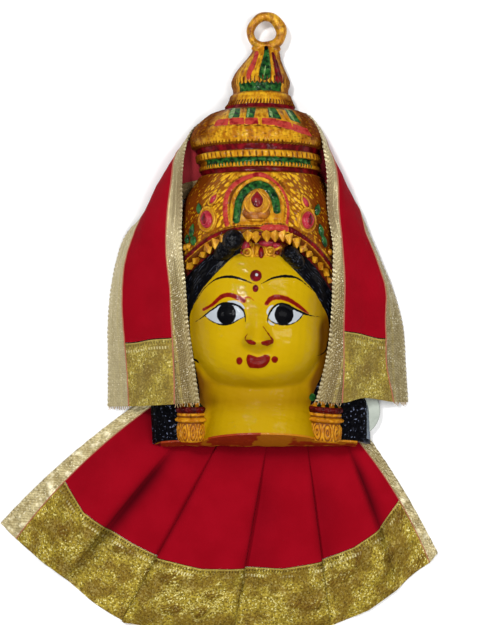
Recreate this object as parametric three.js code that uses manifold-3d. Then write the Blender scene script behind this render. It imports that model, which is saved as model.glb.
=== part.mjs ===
// A cast and painted goddess mask: a tall tiered crown with a hanging ring, a round face framed by hair,
// a neck between two bell earrings. It is dressed in a red cloth veil, which passes behind the crown
// and hangs down both sides of the face, and in a pleated red skirt. Gold lace and brocade are sewn to both.
// It lies on its back: the face looks up (+Z) and the ring points to +Y. Millimetres.
import * as THREE from "three";
import { mergeVertices } from "three/addons/utils/BufferGeometryUtils.js";
import Module from "manifold-3d";

const wasm = await Module();
wasm.setup();

// Driving dimensions of the casting, measured from its base edge (y = 0) and its back rim (z = 0).
const RIM_HEIGHT = 4.2; // the cloth under the mask lifts the back rim this far off the table
const WALL = 2.8;
const CAVITY_TOP = 188;
const RING = { x: 3.8, y: 242.6, z: 4.2, major: 9.1, minor: 2.85 };

// The casting leans a little: x of its centre line against height.
const LEAN = [
  [0, 0.4], [40, -1.6], [75, -2], [140, -2.2], [150, -1.2], [158, -0.3], [164, -0.6], [172, -2],
  [186, -2.6], [194, -1.5], [200, -0.1], [219, -0.1], [225, 1], [231, 2.8],
];

// Hair and back of the head, neck, face and crown: half width and depth against height.
const HEAD_HALF_WIDTH = [[0, 64.5], [22, 64.5], [36, 59], [52, 53], [75, 50], [95, 47], [112, 45], [240, 10]];
const HEAD_DEPTH = [[0, 17], [22, 19], [40, 25], [60, 29], [90, 33], [112, 37], [240, 8]];
const NECK_HALF_WIDTH = [[0, 37], [12, 34.5], [24, 34], [36, 35.5], [60, 36]];
const NECK_DEPTH = [[0, 33], [14, 30], [34, 31], [60, 30]];
const FACE = { halfWidth: 42, depth: 45, widestY: 70, chinY: 33, browFall: 7, topY: 112 };

// The crown's turned outline, tier by tier: radius against height.
const CROWN_OUTLINE = [
  [100, 46.2], [117, 46], [130, 45], [138, 43.9], [143, 43], [147, 41.4], [151, 39.4], [154.5, 37.4], [158, 36], // body
  [158.6, 34.6], [160.8, 34.6], // red recess
  [161.2, 36], [163.4, 36], // toothed rim
  [163.8, 35], [166.2, 35.2], // green band
  [166.8, 37.2], [170.2, 37.4], // beaded ring
  [170.8, 35.8], [173.4, 36.4], // red recess
  [174, 38.6], [177, 39.4], [180.5, 39.4], [184, 37.8], [187.3, 35.6], [190.5, 33], [193.7, 29.2], [196.4, 25], // dome
  [196.8, 21], [198.2, 20.8], [198.8, 20.8], [201.4, 19.2], // red line and notched band
  [202, 19.2], [205, 17.8], [205.6, 16.7], [208, 16.7], // gold band and green band
  [210.6, 17.5], [213.6, 17.6], [218.3, 15.6], [221.3, 13.8], [224.3, 12], [227.3, 10.1], [230.4, 8.7], [233.6, 7.4], // bell
];
const CROWN_START = -4; // the crown begins this far inside the brow band's middle line
const BROW_BAND = { centreY: 88, halfWidth: 50, rise: 34.5, relief: 1.6, reach: 43.6 };

const NOSE = { x: -2, tipY: 61, bridgeY: 86, height: 8.5, wingX: 4.9, wingY: 60.6 };
const MOUTH = { x: -2, y: 50.8, halfWidth: 6.4, height: 2.2 };
const EYE = { offset: 16.6, y: 76.4, halfWidth: 11, height: 1.6 };
const BROW_ROPE = { outside: 4.4, radius: 1.7, pieces: 22 };
const ARCH = { x: -2.2, footY: 127.4, springY: 140, halfWidth: 14.8, topY: 154, radius: 1.7, pieces: 12 };
const JEWELS = [
  { x: -2.2, y: 138.5, rx: 7.6, ry: 8.6, height: 5 },
  { x: -31, y: 131.6, rx: 5.6, ry: 7, height: 3.6 },
  { x: 26.8, y: 132.6, rx: 5.8, ry: 7, height: 3.6 },
];
const BROW_TEETH = { count: 21, radius: 2.3, height: 4.4 };
const RIM_TEETH = { count: 17, y: 161.5, radius: 1.9, height: 2.8 };
const TOOTH_ROOT = 1; // each tooth starts this deep in the crown
const EARRINGS = [
  { x: -41, scale: 0.94 },
  { x: 38.6, scale: 1.08 },
];
const EARRING_OUTLINE = [
  [0, 2.4], [8.2, 2.4], [9, 5], [9.2, 14], [8.4, 16.4], [9.4, 17], [9.6, 19.4], // ribbed bell and collar
  [8.4, 20], [9, 21.6], [8.4, 23.2], [7.4, 24], [6.4, 27.4], [3.6, 30.4], [0, 31.4], // band and dome
];
const EARRING_Z = 14;
const BARE_EDGE = { reach: 72.4, y: 15.5, halfHeight: 12.5, thickness: 2.6 };
const BASE_SLANT = 0.2; // the front of the base stands back this much for each millimetre above the rim

// Cloth, lace and brocade.
const CLOTH = 1;
const SEAM_GAP = 0.32;
const VEIL_WIDTH = 56.5;
const VEIL_LOWEST = 0.7; // the cloth's middle layer where it lies on the table
const VEIL_SEAMS = [0, 0.22, 0.78, 1]; // front lace, cloth, back lace, as shares of the width
const BORDER_SHARE = 0.155; // share of each half of the veil that the brocade end takes
const FACE_ANGLES = 30;

const lerp = (a, b, t) => a + (b - a) * t;
const clamp = (x, low = 0, high = 1) => Math.min(high, Math.max(low, x));
const steps = (from, to, count) => Array.from({ length: count + 1 }, (_, i) => lerp(from, to, i / count));
const bell = (x, width) => Math.exp(-((x / width) ** 2));

function smooth(from, to, x) {
  const t = clamp((x - from) / (to - from));
  return t * t * (3 - 2 * t);
}

// Straight-line reading of a table of [place, value] rows.
function along(table, at) {
  const next = table.findIndex((row) => row[0] > at);
  if (next === 0) return table[0][1];
  if (next < 0) return table[table.length - 1][1];
  const [a, b] = [table[next - 1], table[next]];
  return lerp(a[1], b[1], (at - a[0]) / (b[0] - a[0]));
}

// Distance from the axis to a rounded section of that half width and depth, at an angle from straight out.
function ovalRadius(angle, halfWidth, depth, power) {
  const across = Math.abs(Math.sin(angle)) / halfWidth;
  const out = Math.abs(Math.cos(angle)) / depth;
  return (across ** power + out ** power) ** (-1 / power);
}

function faceRadius(angle, y) {
  if (y <= FACE.chinY || y > FACE.topY + 10) return 0;
  const drop = clamp((FACE.widestY - y) / (FACE.widestY - FACE.chinY));
  const rise = Math.max(0, y - FACE.widestY) / (FACE.topY - FACE.widestY);
  const halfWidth = FACE.halfWidth * (1 - drop ** 2.6) ** (1 / 2.6) - 2 * rise ** 2;
  const depth = FACE.depth * (1 - drop ** 3.2) ** (1 / 3.2) - FACE.browFall * rise ** 2;
  return ovalRadius(angle, Math.max(halfWidth, 0.5), Math.max(depth, 0.5), 2.3);
}

// How far (x, y) lies outside the middle line of the brow band, which arches over the face.
function outsideBrowBand(x, y) {
  const [u, v] = [(x - along(LEAN, y)) / BROW_BAND.halfWidth, (y - BROW_BAND.centreY) / BROW_BAND.rise];
  if (v <= 0) return -20;
  const ring = Math.hypot(u, v);
  const slope = Math.hypot(u / BROW_BAND.halfWidth, v / BROW_BAND.rise) / ring;
  return (ring - 1) / slope;
}

function headRadius(angle, y) {
  const hair = ovalRadius(angle, along(HEAD_HALF_WIDTH, y), along(HEAD_DEPTH, y), 2.2);
  const neck = y < 60 ? ovalRadius(angle, along(NECK_HALF_WIDTH, y), along(NECK_DEPTH, y), 2.4) : 0;
  return Math.max(hair, neck, faceRadius(angle, y));
}

function crownRadius(y) {
  return along(CROWN_OUTLINE, y);
}

// The casting without its small relief.
function plainRadius(angle, y) {
  if (y >= BROW_BAND.centreY + BROW_BAND.rise + 2) return crownRadius(y);
  const head = headRadius(angle, y);
  if (y < 98) return head;
  const x = along(LEAN, y) + head * Math.sin(angle);
  const crown = smooth(CROWN_START - 0.8, CROWN_START + 0.8, outsideBrowBand(x, y));
  return lerp(head, Math.max(head, crownRadius(y)), crown);
}

function noseRelief(x, y) {
  const side = x - NOSE.x;
  const down = clamp((NOSE.bridgeY - y) / (NOSE.bridgeY - NOSE.tipY));
  const under = smooth(NOSE.tipY - 4.5, NOSE.tipY - 0.5, y);
  const ridge = NOSE.height * down ** 1.3 * under * bell(side, lerp(3.2, 5, down));
  const wings = 3.4 * bell(Math.abs(side) - NOSE.wingX, 2.4) * bell(y - NOSE.wingY, 2.4);
  return ridge + wings;
}

function faceRelief(x, y) {
  const lips = MOUTH.height * bell(x - MOUTH.x, MOUTH.halfWidth) * bell(y - MOUTH.y, 3.2);
  const eyes = [-1, 1].reduce((sum, side) => {
    const across = (x - NOSE.x - side * EYE.offset) / EYE.halfWidth;
    return sum + EYE.height * bell(across, 1) * bell(y - EYE.y, 5);
  }, 0);
  const chin = 1.6 * bell(x - MOUTH.x, 9) * bell(y - 41, 4.5);
  return noseRelief(x, y) + lips + eyes + chin;
}

// Hair stands proud of the forehead in a band under the crown.
function hairRelief(x, y) {
  const outsideFace = Math.hypot((x - NOSE.x) / 42, (y - 66) / 45) - 1;
  const parting = smooth(7, 11, Math.abs(x - NOSE.x + 1));
  return 2.6 * smooth(-0.02, 0.05, outsideFace) * parting * smooth(60, 78, y);
}

function crownRelief(x, y) {
  return y > 156 ? 0 : BROW_BAND.relief * bell(outsideBrowBand(x, y), 3.4);
}

function relief(x, y) {
  if (outsideBrowBand(x, y) > CROWN_START) return crownRelief(x, y);
  return y < FACE.chinY ? 0 : faceRelief(x, y) + hairRelief(x, y);
}

// Angles that share a section's length evenly, so that broad shoulders get as many faces as the face.
function evenAngles(y, count) {
  const steps = 240;
  const angles = Array.from({ length: steps + 1 }, (_, i) => lerp(-Math.PI / 2, Math.PI / 2, i / steps));
  const points = angles.map((a) => {
    const r = plainRadius(a, y);
    return [r * Math.sin(a), r * Math.cos(a)];
  });
  const length = [0];
  for (let i = 1; i <= steps; i++) {
    length.push(length[i - 1] + Math.hypot(points[i][0] - points[i - 1][0], points[i][1] - points[i - 1][1]));
  }
  return Array.from({ length: count + 1 }, (_, k) => {
    if (k === 0) return angles[0];
    if (k === count) return angles[steps];
    const wanted = (length[steps] * k) / count;
    const i = length.findIndex((l) => l >= wanted);
    return lerp(angles[i - 1], angles[i], (wanted - length[i - 1]) / (length[i] - length[i - 1]));
  });
}

// A closed solid from sections, each a list of points in the same order round the same loop.
function loftSolid(sections) {
  const count = sections[0].length;
  const vertices = sections.flat(2);
  const triangles = [];
  const at = (i, k) => i * count + (k % count);
  for (let i = 0; i + 1 < sections.length; i++) {
    for (let k = 0; k < count; k++) {
      triangles.push(at(i, k), at(i + 1, k), at(i, k + 1), at(i, k + 1), at(i + 1, k), at(i + 1, k + 1));
    }
  }
  [0, sections.length - 1].forEach((i, last) => {
    const ring = Array.from({ length: count }, (_, k) => new THREE.Vector2(sections[i][k][0], sections[i][k][2]));
    THREE.ShapeUtils.triangulateShape(ring, []).forEach(([a, b, c]) => {
      const face = [at(i, a), at(i, b), at(i, c)];
      const along = THREE.ShapeUtils.area([ring[a], ring[b], ring[c]]) * THREE.ShapeUtils.area(ring) > 0;
      triangles.push(...(along === (last === 0) ? face : face.reverse()));
    });
  });
  return solidFrom(vertices, triangles);
}

function solidFrom(vertices, triangles) {
  const geometry = new THREE.BufferGeometry();
  geometry.setAttribute("position", new THREE.BufferAttribute(new Float32Array(vertices), 3));
  geometry.setIndex(triangles);
  return toManifold(geometry);
}

function toManifold(geometry) {
  const bare = geometry.clone();
  bare.deleteAttribute("normal");
  bare.deleteAttribute("uv");
  const merged = mergeVertices(bare, 1e-4);
  const made = new wasm.Manifold(
    new wasm.Mesh({
      numProp: 3,
      vertProperties: new Float32Array(merged.attributes.position.array),
      triVerts: new Uint32Array(merged.index.array),
    }),
  );
  if (made.volume() >= 0) return made;
  const turned = merged.index.array.slice();
  for (let i = 0; i < turned.length; i += 3) [turned[i + 1], turned[i + 2]] = [turned[i + 2], turned[i + 1]];
  merged.setIndex(new THREE.BufferAttribute(turned, 1));
  return toManifold(merged);
}

function toGeometry(solid) {
  const { numProp, numVert, vertProperties, triVerts } = solid.getMesh();
  const positions = new Float32Array(numVert * 3);
  for (let i = 0; i < numVert; i++) {
    positions.set(vertProperties.subarray(i * numProp, i * numProp + 3), i * 3);
  }
  const geometry = new THREE.BufferGeometry();
  geometry.setAttribute("position", new THREE.BufferAttribute(positions, 3));
  geometry.setIndex(new THREE.BufferAttribute(triVerts, 1));
  geometry.computeVertexNormals();
  return geometry;
}

function placed(geometry, x, y, z, scale = [1, 1, 1]) {
  return toManifold(geometry.scale(...scale).translate(x, y, z));
}

function castingRows() {
  const rows = [0, 3.2, 8, 14, 20, 26, 31, 34, 36, 38.5, 41];
  for (let y = 44; y <= 122; y += 3.1) rows.push(y);
  for (let y = 125.2; y < 156; y += 3.4) rows.push(y);
  return rows.concat(CROWN_OUTLINE.filter((row) => row[0] > 156).map((row) => row[0]));
}

function castingBody() {
  const sections = castingRows().map((y) =>
    evenAngles(y, FACE_ANGLES).map((angle) => {
      const plain = plainRadius(angle, y);
      const x = along(LEAN, y) + plain * Math.sin(angle);
      const r = plain + relief(x, y) * Math.cos(angle) ** 0.5;
      return [along(LEAN, y) + r * Math.sin(angle), y, Math.max(0, r * Math.cos(angle))];
    }),
  );
  return loftSolid(sections);
}

// The hollow behind the face: the plain section, less the wall, let out through the back and the base.
function cavity() {
  const rows = [-2, 12, 26, 35, 42, 50, 62, 75, 88, 100, 112, 124, 140, 156, 170, 180, CAVITY_TOP];
  const sections = rows.map((y) => {
    const close = y > 176 ? 5 : 0;
    const arc = evenAngles(Math.max(y, 0), 18).map((angle) => {
      const around = [-4, 0, 4].map((dy) => plainRadius(angle, clamp(y + dy, 0, 190)));
      const r = Math.min(...around) - WALL - close;
      return [along(LEAN, y) + r * Math.sin(angle), y, r * Math.cos(angle)];
    });
    const [first, last] = [arc[0], arc[arc.length - 1]];
    return [[first[0], y, -2], ...arc, [last[0], y, -2]];
  });
  return loftSolid(sections);
}

function hangingRing() {
  return placed(new THREE.TorusGeometry(RING.major, RING.minor, 8, 26), RING.x, RING.y, RING.z);
}

function earring({ x, scale }) {
  const outline = EARRING_OUTLINE.map(([r, y]) => new THREE.Vector2(r * scale, y));
  return placed(new THREE.LatheGeometry(outline, 12), x, 0, EARRING_Z, [1, 1, 0.8]);
}

function jewel({ x, y, rx, ry, height }) {
  const seat = Math.sqrt(crownRadius(y) ** 2 - (x - along(LEAN, y)) ** 2);
  return placed(new THREE.SphereGeometry(1, 10, 6), x, y, seat, [rx, ry, height]);
}

// A point on the crown's plain surface, lifted by that much.
function onCrown(x, y, lift = 0) {
  const centre = along(LEAN, y);
  const angle = Math.asin(clamp((x - centre) / crownRadius(y), -1, 1));
  const r = crownRadius(y) + lift;
  return new THREE.Vector3(centre + r * Math.sin(angle), y, r * Math.cos(angle));
}

// A point of the brow band that far outside its middle line; turn is 0 over the nose.
function onBrow(turn, outside = 0) {
  const y = BROW_BAND.centreY + (BROW_BAND.rise + outside) * Math.cos(turn);
  return [along(LEAN, y) + (BROW_BAND.halfWidth + outside) * Math.sin(turn), y];
}

// A small pyramid that stands out of the crown.
function tooth([x, y], { radius, height }) {
  const centre = along(LEAN, y);
  const angle = Math.asin((x - centre) / crownRadius(y));
  const pyramid = new THREE.ConeGeometry(radius, height, 4).rotateX(Math.PI / 2);
  return placed(pyramid.translate(0, 0, crownRadius(y) + height / 2 - TOOTH_ROOT).rotateY(angle), centre, y, 0);
}

function crownTeeth() {
  const browTurn = Math.asin(BROW_BAND.reach / BROW_BAND.halfWidth);
  const brow = steps(-browTurn, browTurn, BROW_TEETH.count - 1).map((turn) => tooth(onBrow(turn), BROW_TEETH));
  const rim = steps(-1.4, 1.4, RIM_TEETH.count - 1).map((turn) => {
    const x = along(LEAN, RIM_TEETH.y) + crownRadius(RIM_TEETH.y) * Math.sin(turn);
    return tooth([x, RIM_TEETH.y], RIM_TEETH);
  });
  return [...brow, ...rim];
}

// A raised line along those points, as a chain of capsules.
function raisedLine(spots, radius) {
  const balls = spots.map((p) => placed(new THREE.OctahedronGeometry(radius), p.x, p.y, p.z));
  return balls.slice(1).map((ball, i) => wasm.Manifold.hull([balls[i], ball]));
}

function crownLines() {
  const browTurn = Math.asin(BROW_BAND.reach / (BROW_BAND.halfWidth + BROW_ROPE.outside));
  const brow = steps(-browTurn, browTurn, BROW_ROPE.pieces).map((turn) => onCrown(...onBrow(turn, BROW_ROPE.outside)));
  const rise = ARCH.topY - ARCH.springY;
  const arch = steps(-Math.PI / 2, Math.PI / 2, ARCH.pieces).map((turn) =>
    onCrown(ARCH.x + ARCH.halfWidth * Math.sin(turn), ARCH.springY + rise * Math.cos(turn)),
  );
  const foot = (side) => onCrown(ARCH.x + side * ARCH.halfWidth * 0.9, ARCH.footY);
  const archLine = [foot(-1), ...arch, foot(1)];
  return [...raisedLine(brow, BROW_ROPE.radius), ...raisedLine(archLine, ARCH.radius)];
}

// The unpainted edge of the casting that shows past the hair at the lower right.
function bareEdge() {
  const rim = [];
  for (let i = 0; i <= 8; i++) {
    const t = i / 4 - 1;
    rim.push(new THREE.Vector2(BARE_EDGE.reach - 9 * t * t, BARE_EDGE.y + BARE_EDGE.halfHeight * t));
  }
  rim.push(new THREE.Vector2(56, BARE_EDGE.y + BARE_EDGE.halfHeight));
  rim.push(new THREE.Vector2(56, BARE_EDGE.y - BARE_EDGE.halfHeight));
  const plate = new THREE.ExtrudeGeometry(new THREE.Shape(rim), { depth: BARE_EDGE.thickness, bevelEnabled: false });
  return toManifold(plate);
}

function maskSolid() {
  const parts = [bareEdge(), ...crownTeeth(), ...crownLines(), ...EARRINGS.map(earring), ...JEWELS.map(jewel)];
  const shell = parts.reduce((sum, part) => sum.add(part), castingBody()).subtract(cavity());
  return shell.trimByPlane([0, 1, -BASE_SLANT], 0).add(hangingRing()).trimByPlane([0, 0, 1], 0);
}

// The veil's shape: five lines along the strip, from the front lace's edge to the back lace's edge. Each runs
// from the end that hangs beside the face, up, round the fold, and in to the middle of the crown's back.
const VEIL_LEFT = [
  [[-35.5, 26.7, 31.5], [-39.4, 52.4, 27.5], [-42.4, 74.6, 27], [-43.8, 95.5, 28.5], [-45.8, 117.4, 28.5],
    [-45.9, 137, 25], [-45.8, 157.2, 22], [-44.8, 171, 15], [-43.6, 181, 8.5], [-40.8, 187.5, 2.9],
    [-30, 193.5, 1.5], [0, 197, 1.3]],
  [[-49.6, 25.4, 30], [-50, 47.7, 29], [-51.2, 70, 29], [-52.1, 90.7, 28.5], [-54.4, 113.6, 29],
    [-53.7, 134, 30], [-51.4, 154, 27], [-50, 168, 18], [-47.4, 176, 9], [-42.6, 180.4, 2.9],
    [-28, 184.2, 1.5], [0, 184.6, 1.3]],
  [[-64.3, 24, 21], [-64.4, 47.5, 21.5], [-65.3, 70, 21], [-65.9, 90.8, 21], [-65.6, 113.8, 24],
    [-63.6, 134, 23], [-61.4, 147, 18], [-59.6, 153.4, 10], [-54.5, 159.4, 4.2], [-48, 163.4, 2.2],
    [-32, 168.6, 1.4], [0, 170, 1.3]],
  [[-77.4, 22.7, 9], [-78.5, 46.4, 11], [-80.5, 69.9, 12], [-80.9, 91, 12], [-78.3, 110, 13],
    [-74.4, 123, 13], [-71, 131, 11], [-68.6, 136, 7], [-64, 143, 3.8], [-56, 150, 2.2],
    [-38, 156.3, 1.4], [0, 158, 1.3]],
  [[-90.3, 22, 1.6], [-90.1, 46, 1.6], [-90.3, 69.8, 1.6], [-88.6, 91.2, 1.8], [-84.8, 110, 2.4],
    [-81, 121, 3.4], [-76.6, 127.4, 4.6], [-71.8, 131.2, 4.4], [-66.5, 135.4, 2.8], [-57, 141.5, 1.8],
    [-38, 146.7, 1.3], [0, 148, 1.3]],
];
const VEIL_RIGHT = [
  [[31.5, 27.3, 31.5], [37.8, 52.7, 27.5], [40.4, 73.5, 26.5], [41.2, 95.5, 28], [41.4, 116.8, 28],
    [38.8, 136.3, 25], [38.6, 154.1, 25], [37.4, 168, 22], [35.8, 180, 19], [32.4, 190, 12],
    [26.6, 196.6, 2.9], [0, 197, 1.3]],
  [[46.3, 26.2, 30], [47.2, 50.5, 29], [47.2, 70.6, 28.5], [47.8, 93.6, 28], [46.6, 114.7, 28.5],
    [44.4, 136.3, 30], [43.8, 153.6, 28], [43, 165, 22], [40.8, 174, 15], [39.8, 180.6, 7],
    [36.4, 184.6, 2], [0, 184.6, 1.3]],
  [[59.7, 28.2, 19], [59.5, 49.1, 20.5], [59.6, 69.4, 20], [58.4, 92, 20.5], [56, 113.9, 22],
    [53, 134, 22], [51.4, 146, 18], [49.4, 154, 11], [45.6, 160, 4.4], [40, 164, 2.2],
    [28, 168.6, 1.4], [0, 170, 1.3]],
  [[78, 25.1, 8], [73.6, 46.4, 10], [72.9, 69.3, 12], [72.3, 92.1, 13], [66, 112, 14],
    [60.6, 125.6, 13], [58.8, 133, 11], [57, 139.6, 7], [53, 146, 3.6], [47, 151, 2.2],
    [34, 156, 1.4], [0, 158, 1.3]],
  [[86.9, 24.6, 1.6], [85.5, 46.6, 1.6], [83.8, 69.8, 1.8], [77.5, 92.3, 3], [70, 110, 4.6],
    [64.6, 122.4, 5], [61.6, 129.4, 4.8], [58.8, 134, 4.2], [54, 138.6, 2.8], [48, 142, 1.8],
    [34, 146, 1.3], [0, 148, 1.3]],
];
const VEIL_LINES_AT = [0, 0.22, 0.5, 0.78, 1];
const VEIL_STEPS = 23; // facets along each half

// The veil's lines as smooth curves, from the left end, behind the crown, to the right end.
const veilCurves = VEIL_LEFT.map((left, i) => {
  const right = VEIL_RIGHT[i].slice(0, -1).reverse();
  return new THREE.CatmullRomCurve3([...left, ...right].map((p) => new THREE.Vector3(...p)), false, "centripetal");
});

// A point of the veil at a share of its length and a share of its width.
function veilPoint(length, width) {
  const spots = veilCurves.map((curve) => curve.getPoint(length));
  const across = new THREE.CatmullRomCurve3(spots, false, "centripetal");
  const i = clamp(VEIL_LINES_AT.findIndex((w) => w >= width - 1e-9), 1, 4);
  const t = (width - VEIL_LINES_AT[i - 1]) / (VEIL_LINES_AT[i] - VEIL_LINES_AT[i - 1]);
  const spot = across.getPoint((i - 1 + t) / 4);
  spot.z = Math.max(spot.z, VEIL_LOWEST);
  return spot;
}

// A thin closed solid round a sheet given by point(u, v), with the facets split at the listed u and v.
function sheetSolid(point, us, vs, thickness = CLOTH) {
  const step = 1e-3;
  const side = (u, v, half) => {
    const inU = point(Math.min(u + step, 1), v).sub(point(Math.max(u - step, 0), v));
    const inV = point(u, Math.min(v + step, 1)).sub(point(u, Math.max(v - step, 0)));
    return point(u, v).addScaledVector(inU.cross(inV).normalize(), half);
  };
  const vertices = [];
  for (const half of [thickness / 2, -thickness / 2]) {
    for (const u of us) for (const v of vs) vertices.push(...side(u, v, half).toArray());
  }
  const [m, n] = [us.length, vs.length];
  const at = (layer, i, j) => layer * m * n + i * n + j;
  const triangles = [];
  const quad = (a, b, c, d) => triangles.push(a, b, c, a, c, d);
  for (let i = 0; i + 1 < m; i++) {
    for (let j = 0; j + 1 < n; j++) {
      quad(at(0, i, j), at(0, i + 1, j), at(0, i + 1, j + 1), at(0, i, j + 1));
      quad(at(1, i, j), at(1, i, j + 1), at(1, i + 1, j + 1), at(1, i + 1, j));
    }
    quad(at(0, i, 0), at(1, i, 0), at(1, i + 1, 0), at(0, i + 1, 0));
    quad(at(0, i, n - 1), at(0, i + 1, n - 1), at(1, i + 1, n - 1), at(1, i, n - 1));
  }
  for (let j = 0; j + 1 < n; j++) {
    quad(at(0, 0, j), at(0, 0, j + 1), at(1, 0, j + 1), at(1, 0, j));
    quad(at(0, m - 1, j), at(1, m - 1, j), at(1, m - 1, j + 1), at(0, m - 1, j + 1));
  }
  return solidFrom(vertices, triangles);
}

function veilPiece(fromLength, toLength, fromSeam, toSeam, facets, across) {
  const inset = SEAM_GAP / 2 / VEIL_WIDTH;
  const low = VEIL_SEAMS[fromSeam] + (fromSeam > 0 ? inset : 0);
  const high = VEIL_SEAMS[toSeam] - (toSeam < 3 ? inset : 0);
  return sheetSolid(veilPoint, steps(fromLength, toLength, facets), steps(low, high, across));
}

// The skirt fans out between straight lines, each from the waist seam behind the mask to the hem.
// height is how far the cloth stands off the table on the left and on the right of that line.
const SKIRT_LINES = [
  { waist: [-67.6, 27.6], hem: [-154.6, -47.4], border: 0.62, height: [0.2, 0.2] }, // left edge of the lace
  { waist: [-61, 24.6], hem: [-145.4, -56.8], border: 0.62, height: [0.3, 0.3] }, // lace meets cloth
  { waist: [-52, 19], hem: [-128, -71.5], border: 0.67, height: [1.6, 1.6] },
  { waist: [-39, 14], hem: [-115.7, -79.9], border: 0.68, height: [2.4, 0.2] }, // soft fold
  { waist: [-16.6, 14], hem: [-81.2, -105.4], border: 0.68, height: [0.2, 2] }, // box pleat, left edge
  { waist: [-5.6, 14], hem: [-48, -112.6], border: 0.69, height: [2.1, 2.1] },
  { waist: [5.4, 14], hem: [-17.7, -112.8], border: 0.69, height: [2.2, 0.2] }, // box pleat, right edge
  { waist: [15.2, 14], hem: [12, -112.8], border: 0.69, height: [1.2, 1.2] },
  { waist: [25, 14], hem: [40.5, -109], border: 0.68, height: [2, 0.2] }, // knife pleat
  { waist: [35.7, 14], hem: [64, -99], border: 0.665, height: [0.8, 0.8] },
  { waist: [46.4, 14], hem: [81.1, -86.7], border: 0.65, height: [1.4, 1] }, // soft fold
  { waist: [52.4, 11.6], hem: [100.2, -72.7], border: 0.58, height: [0.3, 0.3] }, // cloth meets lace
  { waist: [60.1, 9.2], hem: [105, -65], border: 0.58, height: [0.2, 0.2] }, // right edge of the lace
];
const SKIRT_EDGES = [1, 11]; // the lines where the side laces are sewn on
const BORDER_GAP = 0.003; // gap between cloth and brocade, as a share of the way from waist to hem
const STEP_WIDTH = 0.012; // a fold's edge, as a share of a panel

// The skirt's lines with each fold split into its two sides.
const skirtSpots = SKIRT_LINES.flatMap((line, i) => {
  const sides = line.height[0] === line.height[1] ? [0] : [0, 1];
  return sides.map((side) => ({ ...line, z: line.height[side], at: i + (sides.length > 1 ? (side - 0.5) * STEP_WIDTH : 0) }));
});

// The two spots that a place across the skirt lies between, and its share of the way from one to the other.
function skirtSpan(panel) {
  const at = panel * (SKIRT_LINES.length - 1);
  const next = clamp(skirtSpots.findIndex((spot) => spot.at >= at - 1e-9), 1, skirtSpots.length - 1);
  const [a, b] = [skirtSpots[next - 1], skirtSpots[next]];
  return { a, b, t: clamp((at - a.at) / (b.at - a.at)) };
}

function skirtPoint(panel, down) {
  const { a, b, t } = skirtSpan(panel);
  const mid = (key, axis) => lerp(a[key][axis], b[key][axis], t);
  const ends = [0, 1].map((axis) => lerp(mid("waist", axis), mid("hem", axis), down));
  return new THREE.Vector3(ends[0], ends[1], lerp(a.z, b.z, t) + CLOTH / 2);
}

// Where the brocade starts on the way down, at a place across the skirt.
function borderStart(panel) {
  const { a, b, t } = skirtSpan(panel);
  return lerp(a.border, b.border, t);
}

const skirtClothPoint = (panel, down) => skirtPoint(panel, down * (borderStart(panel) - BORDER_GAP));
const skirtBorderPoint = (panel, down) => skirtPoint(panel, lerp(borderStart(panel), 1, down));

function skirtPiece(point, fromLine, toLine, rows) {
  const panels = SKIRT_LINES.length - 1;
  const seam = 0.012;
  const low = fromLine + (fromLine > 0 ? seam : 0);
  const high = toLine - (toLine < panels ? seam : 0);
  const inside = skirtSpots.map((spot) => spot.at).filter((at) => at > low + 0.02 && at < high - 0.02);
  const places = [low, ...inside, high];
  return sheetSolid(point, places.map((at) => at / panels), steps(0, 1, rows));
}

// Paints and cloths, as in the photograph.
const paint = (color, roughness, metalness = 0) => new THREE.MeshStandardMaterial({ color, roughness, metalness });
const enamel = paint(0xd9a514, 0.3, 0.2);
const redCloth = paint(0xa10b22, 0.9);
const goldLace = paint(0xb9a878, 0.45, 0.5);
const brocade = paint(0xa08a2c, 0.5, 0.5);

const object = new THREE.Group();
const model = new THREE.Group();
object.add(model);

function addMesh(name, solid, material, lift = 0) {
  const mesh = new THREE.Mesh(toGeometry(solid), material);
  mesh.name = name;
  mesh.position.z = lift;
  model.add(mesh);
}

const seamShare = 0.0008; // half the gap between cloth and brocade along the veil
const [leftEnd, rightEnd] = [BORDER_SHARE / 2, 1 - BORDER_SHARE / 2];
const [firstEdge, lastEdge] = SKIRT_EDGES;
const lastLine = SKIRT_LINES.length - 1;

addMesh("mask", maskSolid(), enamel, RIM_HEIGHT);
addMesh("veil_cloth", veilPiece(leftEnd + seamShare, rightEnd - seamShare, 1, 2, 2 * VEIL_STEPS - 6, 5), redCloth);
addMesh("veil_front_lace", veilPiece(0, 1, 0, 1, 2 * VEIL_STEPS, 1), goldLace);
addMesh("veil_back_lace", veilPiece(0, 1, 2, 3, 2 * VEIL_STEPS, 1), goldLace);
addMesh("veil_left_border", veilPiece(0, leftEnd - seamShare, 1, 2, 3, 5), brocade);
addMesh("veil_right_border", veilPiece(rightEnd + seamShare, 1, 1, 2, 3, 5), brocade);
addMesh("skirt_cloth", skirtPiece(skirtClothPoint, firstEdge, lastEdge, 2), redCloth);
addMesh("skirt_hem_border", skirtPiece(skirtBorderPoint, firstEdge, lastEdge, 1), brocade);
addMesh("skirt_left_lace", skirtPiece(skirtPoint, 0, firstEdge, 1), goldLace);
addMesh("skirt_right_lace", skirtPiece(skirtPoint, lastEdge, lastLine, 1), goldLace);

// The frame's origin is under the middle of the whole object, on the table.
object.updateMatrixWorld(true);
const box = new THREE.Box3().setFromObject(object, true);
model.position.set(-(box.min.x + box.max.x) / 2, -(box.min.y + box.max.y) / 2, -box.min.z);

export default object;
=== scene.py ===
import math

import bpy
import numpy as np
from mathutils import Matrix, Vector


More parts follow.
